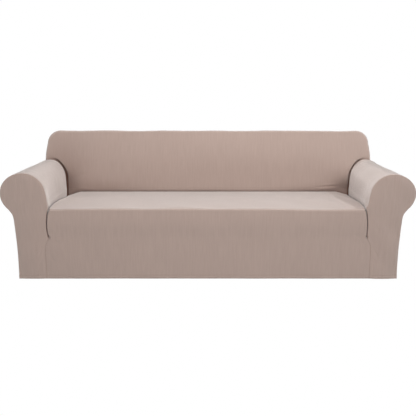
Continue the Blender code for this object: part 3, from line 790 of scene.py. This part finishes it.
insideBack = {
    "worn": (2.50, 0.66), "cutShare": 0.86,      # on the sofa, and its share of that rectangle
    "lowH": 0.356,               # the face goes down behind the seat to here
    "rollShare": 0.9955,         # the rows beside the arms end at this share of the roll's height
    "spreadS": (0.90, 0.10),     # above the arms the outermost columns move out to the sides
    "seatEndX": 0.93,
    "creaseDim": 0.24, "belowDim": 0.36, "belowOver": 0.01,      # painted shade above and below the seat's level
    # painted shade in the crevice behind each arm's end, paler higher up
    "gapDim": 0.62, "gapPaler": 0.8, "gapPalerH": (0.54, 0.06),
    "overDim": 0.3, "overWidth": 0.011, "overH": (0.54, 0.04),   # painted shade along the arm's top
    "forward": 0.025,            # the sheet comes forward again below the seat
    "topSag": 0.004, "sagOver": 0.05,
    "besideFrom": 0.004, "besideOver": 0.05, "sunkFrom": 0.01, "sunkOver": 0.02, "seamFade": 0.03,
    "columns": 290, "gather": 0.35, "lowRows": 70, "sideRows": 44, "cornerRows": 10,
    "turnSteps": 6, "topSteps": 14,
    "slack": (0.0013, 0.34, 0.25, 9), "fine": (0.0003, 0.06, 0.5, 12),
}


def backOutline(inset, sideRows, cornerRows):
    # the back's side, corner and top, this far inside its outline: x, h and the outward way
    # each side leans out from the corner to the arm's top: lean * share * (2 - share)
    share = np.linspace(1.0, 0.0, sideRows)[:-1]
    cornerFoot = back["height"] - back["cornerRadius"]
    sideH = cornerFoot + (runOnH + cover["seam"] - cornerFoot) * share
    angle = np.linspace(0.0, np.pi / 2.0, cornerRows)
    radius = back["cornerRadius"] - inset
    cornerX = back["halfWidth"] - back["cornerRadius"] + radius * np.cos(angle)
    cornerH = cornerFoot + radius * np.sin(angle)
    x = np.append(back["halfWidth"] - inset + back["sideLean"] * share * (2.0 - share), cornerX)
    h = np.append(sideH, cornerH)
    outX = np.append(np.ones(len(sideH)), np.cos(angle))
    outH = np.append(np.zeros(len(sideH)), np.sin(angle))
    return x, h, outX, outH


backCreases = table(
    "u0 v0 u1 v1 bow width depth",
    (0.7, 0.012, 0.9, 0.018, 0.002, 0.005, 0.002),      # bunched cloth over the crease, right
    (0.68, 0.024, 0.88, 0.028, 0.002, 0.005, -0.0018),
    (0.74, 0.036, 0.9, 0.044, 0.003, 0.007, 0.0016),
    (-0.9, 0.02, -0.74, 0.014, -0.002, 0.006, 0.0014),
    (-0.94, 0.06, -0.78, 0.12, 0.012, 0.014, -0.001),   # drag line from the left arm
)


def buildInsideBack():
    # the face between the arms and above them, then the top and sides back to the rear seam
    size = insideBack
    highX, highH, outX, outH = backOutline(back["edgeRadius"], size["sideRows"], size["cornerRows"])
    narrow = roll["innerRadius"] * (1.0 - roll["taper"] * back["footY"]) - roll["endDepth"] + back["behindArm"]
    rise = roll["radius"] - roll["endDepth"] + back["behindArm"]
    lowShare = np.sin(np.linspace(0.0, np.pi / 2.0, size["lowRows"]))
    lowH = size["lowH"] + (roll["centreH"] + size["rollShare"] * rise - size["lowH"]) * lowShare
    share = np.clip((lowH - roll["centreH"]) / rise, 0.0, 1.0)
    lowX = roll["centreX"] - narrow * np.sqrt(1.0 - share ** 2)
    low = len(lowX)
    s = gathered(size["columns"], size["gather"])
    # above the arms only the outermost columns move out to the back's sides
    spread = np.append(lowX, highX - lowX[-1])[:, None]
    x = spread * s
    x[low:] = lowX[-1] * s + spread[low:] * np.sign(s) * setIn(np.abs(s), *size["spreadS"])
    h = np.repeat(np.append(lowH, highH)[:, None], len(s), axis=1)
    y = backFaceY(h)
    # pushed in behind the arms' ends and above the seat: distance from an arm's end, then the depth
    beyond = roll["centreX"] - np.abs(x)
    fromArm = np.where(h < roll["centreH"], beyond - narrow, narrow * (
        np.hypot(np.maximum(beyond, 0.0) / narrow, (h - roll["centreH"]) / rise) - 1.0))
    gapWidth = back["gapWidth"] - back["gapNarrow"] * setIn(h, *back["gapNarrowH"])
    gap = (1.0 - ease((fromArm - gapWidth) / back["gapEdge"])) * gapShare(x)
    seatX = np.clip(x, -size["seatEndX"], size["seatEndX"])
    seatH = seatSurface(seatX, np.full_like(x, back["footY"])) - back["undercutBelow"]
    atSeat = np.exp(-((h - seatH) / back["undercutHigh"]) ** 2)
    under = back["undercut"] * atSeat
    # painted shade: in the crease above the seat, below the seat's level, and in the pockets
    dim = size["creaseDim"] * atSeat + size["belowDim"] * ease((seatH - h) / size["belowOver"])
    for midX, midH, wide, tall, depth, dimmed in zip(*pockets.values()):
        pocket = np.exp(-((x - midX) / wide) ** 2 - ((h - midH) / tall) ** 2)
        under = under + depth * pocket
        dim = dim + dimmed * pocket
    # a soft painted shade along the arm's top, out to the back's side
    over = np.exp(-((fromArm - 0.5 * gapWidth) / size["overWidth"]) ** 2) * setIn(h, *size["overH"])
    # painted shade in the crevice behind each arm's end, paler higher up
    inGap = size["gapDim"] * gap * (1.0 - size["gapPaler"] * setIn(h, *size["gapPalerH"]))
    dim = np.clip(dim + inGap + size["overDim"] * over, 0.0, 1.0)
    returned = 1.0 - ease((seatH - h) / size["forward"])
    y = y + (back["gapDepth"] * gap + under * (1.0 - gap)) * returned
    inner = np.stack([x, y, h], axis=-1).reshape(-1, 3)
    v = runLength(backFaceY(h[:, 0]), h[:, 0]) - (back["footH"] - size["lowH"])
    v = np.repeat(v[:, None], len(s), axis=1)

    loop = rimLoop(*x.shape)
    row, column = np.divmod(loop, len(s))
    start = inner[loop]
    atSide = np.isin(column, (0, len(s) - 1))
    outward = np.zeros_like(start)
    outward[:, 0] = atSide * np.sign(start[:, 0]) * np.append(np.ones(low), outX)[row]
    outward[:, 2] = np.where(atSide, np.append(np.zeros(low), outH)[row], 1.0)
    across, depth, length = turnedEdge(np.ones(1), back["edgeRadius"], np.zeros(1), size["turnSteps"], 1)
    across, depth, length = across[:-1, 0], depth[:-1, 0], length[:-1, 0]
    innerCloth = np.stack([x.ravel(), v.ravel()], axis=1)
    points, cloth, away = [inner], [innerCloth], [np.zeros(len(inner))]
    rearEdgeY = cover["depth"] - cover["cloth"] - cover["seam"]
    for a, d, run in zip(across, depth, length):
        points.append(start + outward * a + (0.0, d, 0.0))
        cloth.append(innerCloth[loop] + outward[:, [0, 2]] * run)
        away.append(np.full(len(loop), run))
    turned = points[-1]
    rear = turned.copy()
    rear[:, 1] = rearEdgeY
    rear[:, 2] = rearHeight(turned[:, 2])
    for step in range(1, size["topSteps"] + 1):
        part = step / size["topSteps"]
        points.append(turned + (rear - turned) * part)
        run = length[-1] + np.linalg.norm(rear - turned, axis=1) * part
        cloth.append(innerCloth[loop] + outward[:, [0, 2]] * run[:, None])
        away.append(run)
    points, cloth, away = np.vstack(points), np.vstack(cloth), np.concatenate(away)
    paintedShade = np.append(dim.ravel(), np.zeros(len(points) - dim.size))

    u, v = cloth.T
    onFace = np.arange(len(points)) < x.size
    # fades at the crease beside the arms, and at the rear seam
    beside = np.ones_like(x)
    beside[:low] = ease((lowX[:, None] - np.abs(x[:low]) - size["besideFrom"]) / size["besideOver"])
    beside[low:] = np.clip(beside[low - 1:low] + setIn(h[low:], armTop, size["besideOver"]), 0.0, 1.0)
    sunk = ease((h - back["footH"] + size["sunkFrom"]) / size["sunkOver"])
    fade = np.append((beside * sunk).ravel(), np.ones(len(points) - x.size))
    lines = len(across) + size["topSteps"]
    rearGap = np.linalg.norm(points - np.vstack([points[:x.size], np.tile(rear, (lines, 1))]), axis=1)
    fade *= np.where(onFace, 1.0, ease(rearGap / size["seamFade"]))
    relief = ripples(u, v, *size["slack"], 21)
    relief += ripples(u, v, *size["fine"], 22)
    relief += np.where(onFace, creases(u, v, backCreases), 0.0)
    slack = ease(away / size["sagOver"]) * ease(rearGap / size["sagOver"])
    sag = -size["topSag"] * slack * np.where(onFace, 0.0, 1.0)
    relief = (relief + sag) * fade
    aboveArms = np.minimum(row[:-1], row[1:]) >= low
    faces = bandedFaces(*x.shape, lines, np.repeat(aboveArms[None], lines, axis=0))
    makePanel("insideBack", "inside_back", points, cloth, faces, relief, paintedShade)


outsideBack = {
    "worn": (2.34, 0.80), "cutShare": 0.9,
    "columns": 120, "outerRows": 62, "rollRows": 34, "sideRows": 20, "cornerRows": 9,
    "unevenness": 0.0014, "slack": (1.0, 0.40, 0.45, 9), "edgeFade": 0.04,
}


def buildOutsideBack():
    # one flat panel inside the whole rear outline: hem, arm rolls, sides, corners and top
    size = outsideBack
    outerX, outerH = outerLine(rollEnd, size["outerRows"])
    rollX, rollH = rollPoints(np.linspace(rollEnd, runOnAngle, size["rollRows"]))
    backX, backH, _, _ = backOutline(0.0, size["sideRows"], size["cornerRows"])
    half = np.concatenate([outerX[::-1], rollX[1:], backX])[:, None]
    height = np.concatenate([outerH[::-1], rollH[1:], rearHeight(backH)])[:, None]
    x = half * np.linspace(1.0, -1.0, size["columns"])
    h = np.broadcast_to(height, x.shape)
    points = np.stack([x, np.full_like(x, cover["depth"]), h], axis=-1).reshape(-1, 3)
    u, v = x.ravel(), h.ravel()
    fade = (ease((half - np.abs(x)) / size["edgeFade"]) * ease((height[-1] - h) / size["edgeFade"])).ravel()
    relief = -0.5 * size["unevenness"] * (1.5 + ripples(u, v, *size["slack"], 31)) * fade
    relief += hemRelief(v, u, 32)
    faces = gridFaces(np.arange(x.size).reshape(x.shape))
    makePanel("outsideBack", "outside_back", points, np.stack([u, v], axis=1), faces, relief, 0.0 * u)


# Arms

arm = {
    "worn": (0.87, 1.02), "cutShare": 0.88,
    "innerColumns": 44, "outerColumns": 110,
    "rows": 84, "endRows": 9, "gapRows": 4, "rearRows": 26,
    "footBend": 0.17,            # height over which the inner side bends to the crease
    "footStart": 0.08,           # and the depth over which that begins
    "sideShare": 0.985,          # the even sections stop a little before the rounded end
    "endPress": 0.0006,          # the end is this far off the back until it goes into the crevice
    # gapDim is the painted shade on the arm's end where it goes into the crevice
    "gapIn": 0.004, "gapDim": 0.5,
    "tuckBare": 0.012,           # below this depth the tuck doesn't follow the rounded end
    "tuckCloth": 0.014,          # cloth between the tuck's upper end and the first section
    "seamFade": 0.03, "rearFade": 0.05, "tuckFade": 6.0,     # the last in columns
    "slack": (0.0007, 0.28, 0.26, 9), "fine": (0.00012, 0.05, 0.4, 12),
}

# The arm's cloth in the crease beside the seat, from its lower end to just above the seat: depth, distance
# from the crease's middle, and the painted shade there
armTuck = table(
    "below apart shade",
    (cover["tuckDepth"], cover["seam"] / 2.0, 1.0), (0.020, 0.0010, 1.0), (0.012, 0.0018, 1.0),
    (0.006, cover["creaseOpen"], 1.0), (0.002, cover["creaseOpen"], 1.0), (0.0, cover["creaseOpen"], 1.0),
    (-0.0035, cover["creaseOpen"], 0.5), (-0.009, cover["creaseOpen"], 0.05),
)

armCreases = table(
    "u0 v0 u1 v1 bow width depth",
    (0.02, 0.66, 0.2, 0.7, 0.004, 0.01, -0.0007),       # drag lines from the front seam
    (0.02, 0.6, 0.16, 0.57, -0.004, 0.009, -0.0006),
    (0.02, 0.3, 0.14, 0.22, 0.006, 0.012, -0.0014),
)


def buildArm(name, node, side, seed):
    # sections of the arm from its front seam to the back and, outside the back, to the rear
    size = arm
    firstY = roll["edgeRadius"] + roll["edgeFlat"] + 2.0 * cover["seam"]
    rollX, rollH = rollArc(roll["innerAngle"], runOnAngle)
    innerX, innerH = curveThrough(
        np.append(armInner["x"], rollX), np.append(armInner["h"], rollH), size["innerColumns"])
    outerX, outerH = outerLine(runOnAngle, size["outerColumns"])
    below, apart = armTuck["below"], armTuck["apart"]
    tuck = len(below)
    runOn = tuck + len(innerX) - 2
    sectionX = np.concatenate([np.zeros(tuck), innerX[1:], outerX[1:]])
    sectionH = np.concatenate([np.full(tuck, seatCrease["h"][-1]), innerH[1:], outerH[1:]])
    sectionH[runOn:] = np.minimum(sectionH[runOn:], runOnH)
    sectionH[:tuck] -= below

    endAngle = np.linspace(0.0, np.pi / 2.0, size["endRows"])
    lastY = seatCrease["y"][-2]
    sideY = np.linspace(firstY, lastY, size["rows"])
    gapPart = np.concatenate([0.0 * endAngle, np.arange(1, size["gapRows"] + 1) / size["gapRows"]])
    endAngle = np.append(endAngle, np.full(size["gapRows"], np.pi / 2.0))
    rows = len(sideY) + len(endAngle)
    end = slice(len(sideY), rows)
    y = np.repeat(np.append(sideY, 0.0 * endAngle)[:, None], len(sectionH), axis=1)
    endStart = backFaceY(sectionH) - cover["seam"] - roll["endLength"]
    along = (sideY[:, None] - firstY) * (endStart - firstY) / (lastY - firstY)
    y[:end.start] = firstY + along * size["sideShare"]
    y[end] = endStart + roll["endLength"] * np.sin(endAngle)[:, None]
    y[end] -= size["endPress"] * (1.0 - gapPart[:, None])
    y[:, runOn:] = y[:, runOn][:, None]
    y[end, runOn:] = np.linspace(y[end.start - 1, runOn], y[-1, runOn], len(endAngle) + 1)[1:, None]

    # the inner half narrows towards the back, and the lowest columns go down along the seat's crease
    narrow = np.where(sectionX < roll["centreX"], 1.0 - roll["taper"] * y, 1.0)
    x = roll["centreX"] + (sectionX - roll["centreX"]) * narrow
    h = np.repeat(sectionH[None], rows, axis=0)
    creaseX = creaseLine(y[:, :tuck], side)
    creaseH = follow(seatCrease, y[:, :tuck], "h")
    creaseH -= droop(side * creaseX, y[:, :tuck]) + rearDrop(side * creaseX, y[:, :tuck])
    shallow = np.interp(y[:, :tuck], (firstY, 0.030), (cover["edgeTuck"] / cover["tuckDepth"], 1.0))
    inside = slice(tuck, runOn)
    x[:, inside], h[:, inside] = settled(x[:, inside], y[:, inside], h[:, inside], side)
    footMove = creaseX[:, -1:] + apart[-1] - x[:, tuck:tuck + 1]
    footMove *= setIn(y[:, :1], firstY, size["footStart"])
    x[:, inside] += footMove * (1.0 - ease((h[:, inside] - creaseH[:, -1:]) / size["footBend"]))
    x[:, :tuck] = creaseX + apart
    h[:, :tuck] = creaseH - below * np.where(below > 0.0, shallow, 1.0)

    # the rear end rounds in against the back, less and less towards the line where the arm runs on
    runX, runH = np.gradient(x, axis=1), np.gradient(h, axis=1)
    run = np.hypot(runX, runH)
    fadeOut = 1.0 - ease((x - roll["centreX"]) / (runOnX - roll["centreX"]))
    atSurface = np.append(1.0 - ease(below / size["tuckBare"]), np.ones(runOn - tuck))
    drawn = np.zeros_like(x)
    drawn[end, :runOn] = roll["endDepth"] * (1.0 - np.cos(endAngle))[:, None] * atSurface
    x += runH / run * drawn * fadeOut
    h -= runX / run * drawn * fadeOut
    y[end, :runOn] -= backFaceY(sectionH[:runOn]) - backFaceY(h[end, :runOn])
    inGap = gapPart[:, None] * gapShare(x[end, :runOn] + size["gapIn"])
    y[end, :runOn] += back["gapDepth"] * inGap * atSurface

    # outside the back the sheet runs on to the rear seam
    rearEdgeY = cover["depth"] - cover["cloth"] - cover["seam"]
    part = np.linspace(0.0, 1.0, size["rearRows"] + 1)[1:, None]
    y = np.vstack([y, y[-1] + (rearEdgeY - y[-1]) * part])
    x = np.vstack([x, np.repeat(x[-1:], len(part), axis=0)])
    h = np.vstack([h, np.repeat(h[-1:], len(part), axis=0)])
    keep = np.ones((x.shape[0] - 1, x.shape[1] - 1), bool)
    keep[rows - 1:, :runOn] = False
    x[:, runOn:], h[:, runOn:] = settled(x[:, runOn:], y[:, runOn:], h[:, runOn:], side)
    # painted shade on the arm's end in the crevice, and on its cloth in the crease beside the seat
    paintedShade = np.zeros_like(x)
    paintedShade[end, :runOn] = size["gapDim"] * gapPart[:, None] * gapShare(x[end, :runOn])
    paintedShade[:, :tuck] = armTuck["shade"]

    points = np.stack([x, y, h], axis=-1).reshape(-1, 3)
    section = runLength(sectionX[tuck:], sectionH[tuck:])
    v = np.concatenate([section[-1] + size["tuckCloth"] + below, section[-1] - section])
    v = np.repeat(v[None], x.shape[0], axis=0)
    u, v = y.ravel(), v.ravel()
    column = np.arange(x.shape[1])
    rearGap = np.where(column < runOn, backFaceY(sectionH) - y, rearEdgeY - y)
    fade = (setIn(y, firstY, size["seamFade"]) * ease(rearGap / size["rearFade"])
            * ease((column - tuck + 1) / size["tuckFade"])).ravel()
    relief = ripples(u, v, *size["slack"], seed)
    relief += ripples(u, v, *size["fine"], seed + 1)
    relief += creases(u, v, armCreases)
    relief = relief * fade + hemRelief(v, u, seed + 2)
    faces = gridFaces(np.arange(x.size).reshape(x.shape), keep)
    makePanel(name, node, points, np.stack([u, v], axis=1), faces, relief, paintedShade.ravel(), side)


armFront = {
    "worn": (0.26, 0.63), "cutShare": 0.80,
    "rows": 170, "seamShare": 0.62, "columns": 46, "turnSteps": 5, "flangeSteps": 2,
    "topAngles": (132.0, 48.0),  # the columns end along this part of the roll
    "dome": 0.004,
    "sideFade": 5.0, "topFade": 12.0,        # 1 / the share of the panel over which the relief fades
    "slack": (0.0010, 0.16, 0.20, 8), "fine": (0.0002, 0.03, 0.3, 12),
    "rollFiner": 1.5, "rollFinerH": (0.48, 0.12),    # more of the fine unevenness on the roll
}

armFrontCreases = table(
    "u0 v0 u1 v1 bow width depth",
    (0.955, 0.18, 0.985, 0.125, 0.002, 0.005, -0.0016),   # beside the lower front seam
    (0.948, 0.135, 0.98, 0.075, 0.002, 0.006, -0.0012),
    (0.95, 0.33, 0.985, 0.27, 0.003, 0.008, -0.0008),
)


def buildArmFront(name, node, side, seed):
    # a patch inside the arm's outline, with a border that rolls back to the arm's front seam
    size = armFront
    topStart, topEnd = size["topAngles"]
    rollX, rollH = rollArc(roll["innerAngle"], topStart)
    seamRows = int(size["seamShare"] * size["rows"])
    seamH = np.linspace(0.0, frontSeam["h"][-1], seamRows)
    lineX = seamLine(seamH, side) + follow(frontSeam, seamH, "open") + cover["seam"] / 2.0
    stray = seamLine(seamH[-1:], side) - frontSeam["x"][-1]
    innerX = armInner["x"] + stray * (1.0, 0.5, 0.0)      # the seam's own way fades out above it
    aboveX, aboveH = curveThrough(
        np.concatenate([lineX[-2:], innerX, rollX]), np.concatenate([seamH[-2:], armInner["h"], rollH]),
        size["rows"] - seamRows + 2)
    leftX, leftH = np.append(lineX, aboveX[2:]), np.append(seamH, aboveH[2:])
    topX, topH = rollPoints(np.linspace(topStart, topEnd, size["columns"]))
    rightX, rightH = outerLine(topEnd, len(leftX))
    rows, columns = len(leftX), len(topX)
    x = np.concatenate([leftX, topX[1:-1], rightX])
    h = np.concatenate([leftH, topH[1:-1], rightH])
    opening, turn, nearEdge = slitLines(seamH, len(x))
    straight = np.full(len(x), roll["edgeFlat"])
    straight += (cover["slitTuck"] - roll["edgeRadius"] - roll["edgeFlat"]) * turn * (1.0 - nearEdge)

    runX, runH = np.gradient(x), np.gradient(h)
    runX[[0, -1]] = 0.0
    run = np.hypot(runX, runH)
    inward = np.stack([runH / run, np.zeros_like(x), -runX / run], axis=-1)
    outlineX, outlineH = settled(x, 0.0 * x, h, side)
    outline = np.stack([outlineX, np.zeros_like(x), outlineH], axis=-1)
    across, depth, length = turnedEdge(
        turn, roll["edgeRadius"], straight, size["turnSteps"], size["flangeSteps"])
    rim = outline + inward * across[-1][:, None]
    left, right = rim[:rows], rim[-rows:][::-1]
    inner = fillPatch(left, right, np.linspace(left[0], right[0], columns), rim[rows - 1:rows - 1 + columns])
    u = np.linspace(-1.0, 1.0, columns)
    v = np.linspace(0.0, 1.0, rows)[:, None]
    inner[:, :, 1] -= size["dome"] * (1.0 - u ** 2) * (1.0 - v ** 4)
    points = [inner.reshape(-1, 3)]
    cloth = [points[0][:, [0, 2]]]
    paintedShade = [np.zeros(len(points[0]))]
    # the turned border carries painted shade beside the seat only
    besideSeat = np.arange(len(x)) < seamRows
    for lineAcross, lineDepth, lineLength, shade, foot in zip(across, depth, length, *edgeShades(turn, size)):
        line = rim - inward * lineAcross[:, None]
        line[:, 1] += lineDepth
        line[:, 0] -= opening * turn * (1.0 - nearEdge) * foot
        points.append(line)
        cloth.append((rim - inward * lineLength[:, None])[:, [0, 2]])
        paintedShade.append(shade * besideSeat)
    points, cloth, paintedShade = np.vstack(points), np.vstack(cloth), np.concatenate(paintedShade)
    innerFade = ease(size["sideFade"] * (1.0 - np.abs(u))) * ease(size["topFade"] * (1.0 - v))
    fade = np.append(innerFade.ravel(), np.zeros(len(points) - innerFade.size))
    u, v = cloth.T
    relief = ripples(u, v, *size["slack"], seed)
    onRoll = size["rollFiner"] * setIn(v, *size["rollFinerH"])
    relief += ripples(u, v, *size["fine"], seed + 1) * (1.0 + onRoll)
    relief += creases(u, v, armFrontCreases)
    relief = relief * fade + hemRelief(v, u, seed + 2)
    faces = bandedFaces(rows, columns, len(across))
    makePanel(name, node, points, cloth, faces, relief, paintedShade, side)


buildSeatFront()
buildInsideBack()
buildOutsideBack()
for word, side, seed in (("Left", -1.0, 40), ("Right", 1.0, 50)):
    buildArm("arm" + word, "arm_" + word.lower(), side, seed)
    buildArmFront("armFront" + word, "arm_front_" + word.lower(), side, seed + 20)


# Floor, light and camera

studio = {
    "ambient": 0.01,             # light from all round
    "backdrop": 1.0,             # what the camera sees behind
    "floorGlow": 0.33,           # the pale floor's light on the cloth
    "lampSize": 1.6, "lampAway": 3.4, "aim": (0.0, -0.35, -0.40),
}

# soft lamps round the aim: degrees to the right of the front and degrees up, and watts
lamps = table(
    "around up power",
    (45.0, 55.0, 62.0),
    (0.0, 52.0, 56.0),
    (-40.0, 45.0, 19.0),
    (90.0, 30.0, 26.0),
    (-90.0, 30.0, 20.0),
    (-155.0, 42.0, 34.0),
)

camera = {
    "pitch": 12.2,               # degrees down
    "away": 3.11,                # from the front plane
    "height": 1.094,             # above the hem
    "focalPixels": 560.0, "framePixels": 416.0,
}


def makeFloor():
    mesh = bpy.data.meshes.new("floor")
    half = 30.0
    z = origin[2] - cover["floorBelow"]
    corners = [(-half, -half, z), (half, -half, z), (half, half, z), (-half, half, z)]
    mesh.from_pydata(corners, [], [(0, 1, 2, 3)])
    paint = bpy.data.materials.new("paleFloor")
    paint.use_nodes = True
    tree = paint.node_tree
    shader = fillInputs(tree, tree.nodes["Principled BSDF"], {
        "Base Color": (0.60, 0.60, 0.60, 1.0), "Roughness": 0.9,
        "Emission Color": (1.0, 1.0, 1.0, 1.0), "Emission Strength": studio["floorGlow"]})
    # plain white to the camera, like the backdrop
    white = addNode(tree, "Emission", {})
    seen = addNode(tree, "LightPath", {})
    choice = addNode(tree, "MixShader", {
        "Fac": seen.outputs["Is Camera Ray"], 1: shader.outputs[0], 2: white.outputs[0]})
    fillInputs(tree, tree.nodes["Material Output"], {"Surface": choice.outputs[0]})
    mesh.materials.append(paint)
    addObject("floor", mesh)


def makeWorld():
    world = bpy.data.worlds.new("studio")
    bpy.context.scene.world = world
    world.use_nodes = True
    tree = world.node_tree
    tree.nodes.clear()
    seen = addNode(tree, "LightPath", {}).outputs["Is Camera Ray"]
    strength = mathNode(tree, "MULTIPLY_ADD", seen, studio["backdrop"] - studio["ambient"], studio["ambient"])
    background = addNode(tree, "Background", {"Color": (1.0, 1.0, 1.0, 1.0), "Strength": strength})
    addNode(tree, "OutputWorld", {"Surface": background.outputs[0]})


def makeLamp(name, around, up, power):
    light = bpy.data.lights.new(name, "AREA")
    light.shape = "SQUARE"
    light.size = studio["lampSize"]
    light.energy = power
    lamp = addObject(name, light)
    around, up = math.radians(around), math.radians(up)
    way = np.array([math.sin(around) * math.cos(up), -math.cos(around) * math.cos(up), math.sin(up)])
    lamp.location = np.array(studio["aim"]) + studio["lampAway"] * way
    lamp.rotation_euler = (math.pi / 2.0 - up, 0.0, around)


def makeCamera():
    lens = bpy.data.cameras.new("camera")
    lens.sensor_width = 36.0
    lens.lens = lens.sensor_width * camera["focalPixels"] / camera["framePixels"]
    lens.clip_end = 100.0
    eye = addObject("camera", lens)
    eye.location = (0.0, origin[1] - camera["away"], origin[2] + camera["height"])
    eye.rotation_euler = (math.radians(90.0 - camera["pitch"]), 0.0, 0.0)
    bpy.context.scene.camera = eye


makeFloor()
makeWorld()
for number, values in enumerate(zip(*lamps.values())):
    makeLamp("lamp%d" % number, *values)
makeCamera()
bpy.context.scene.view_settings.view_transform = "Standard"
print("studio set")
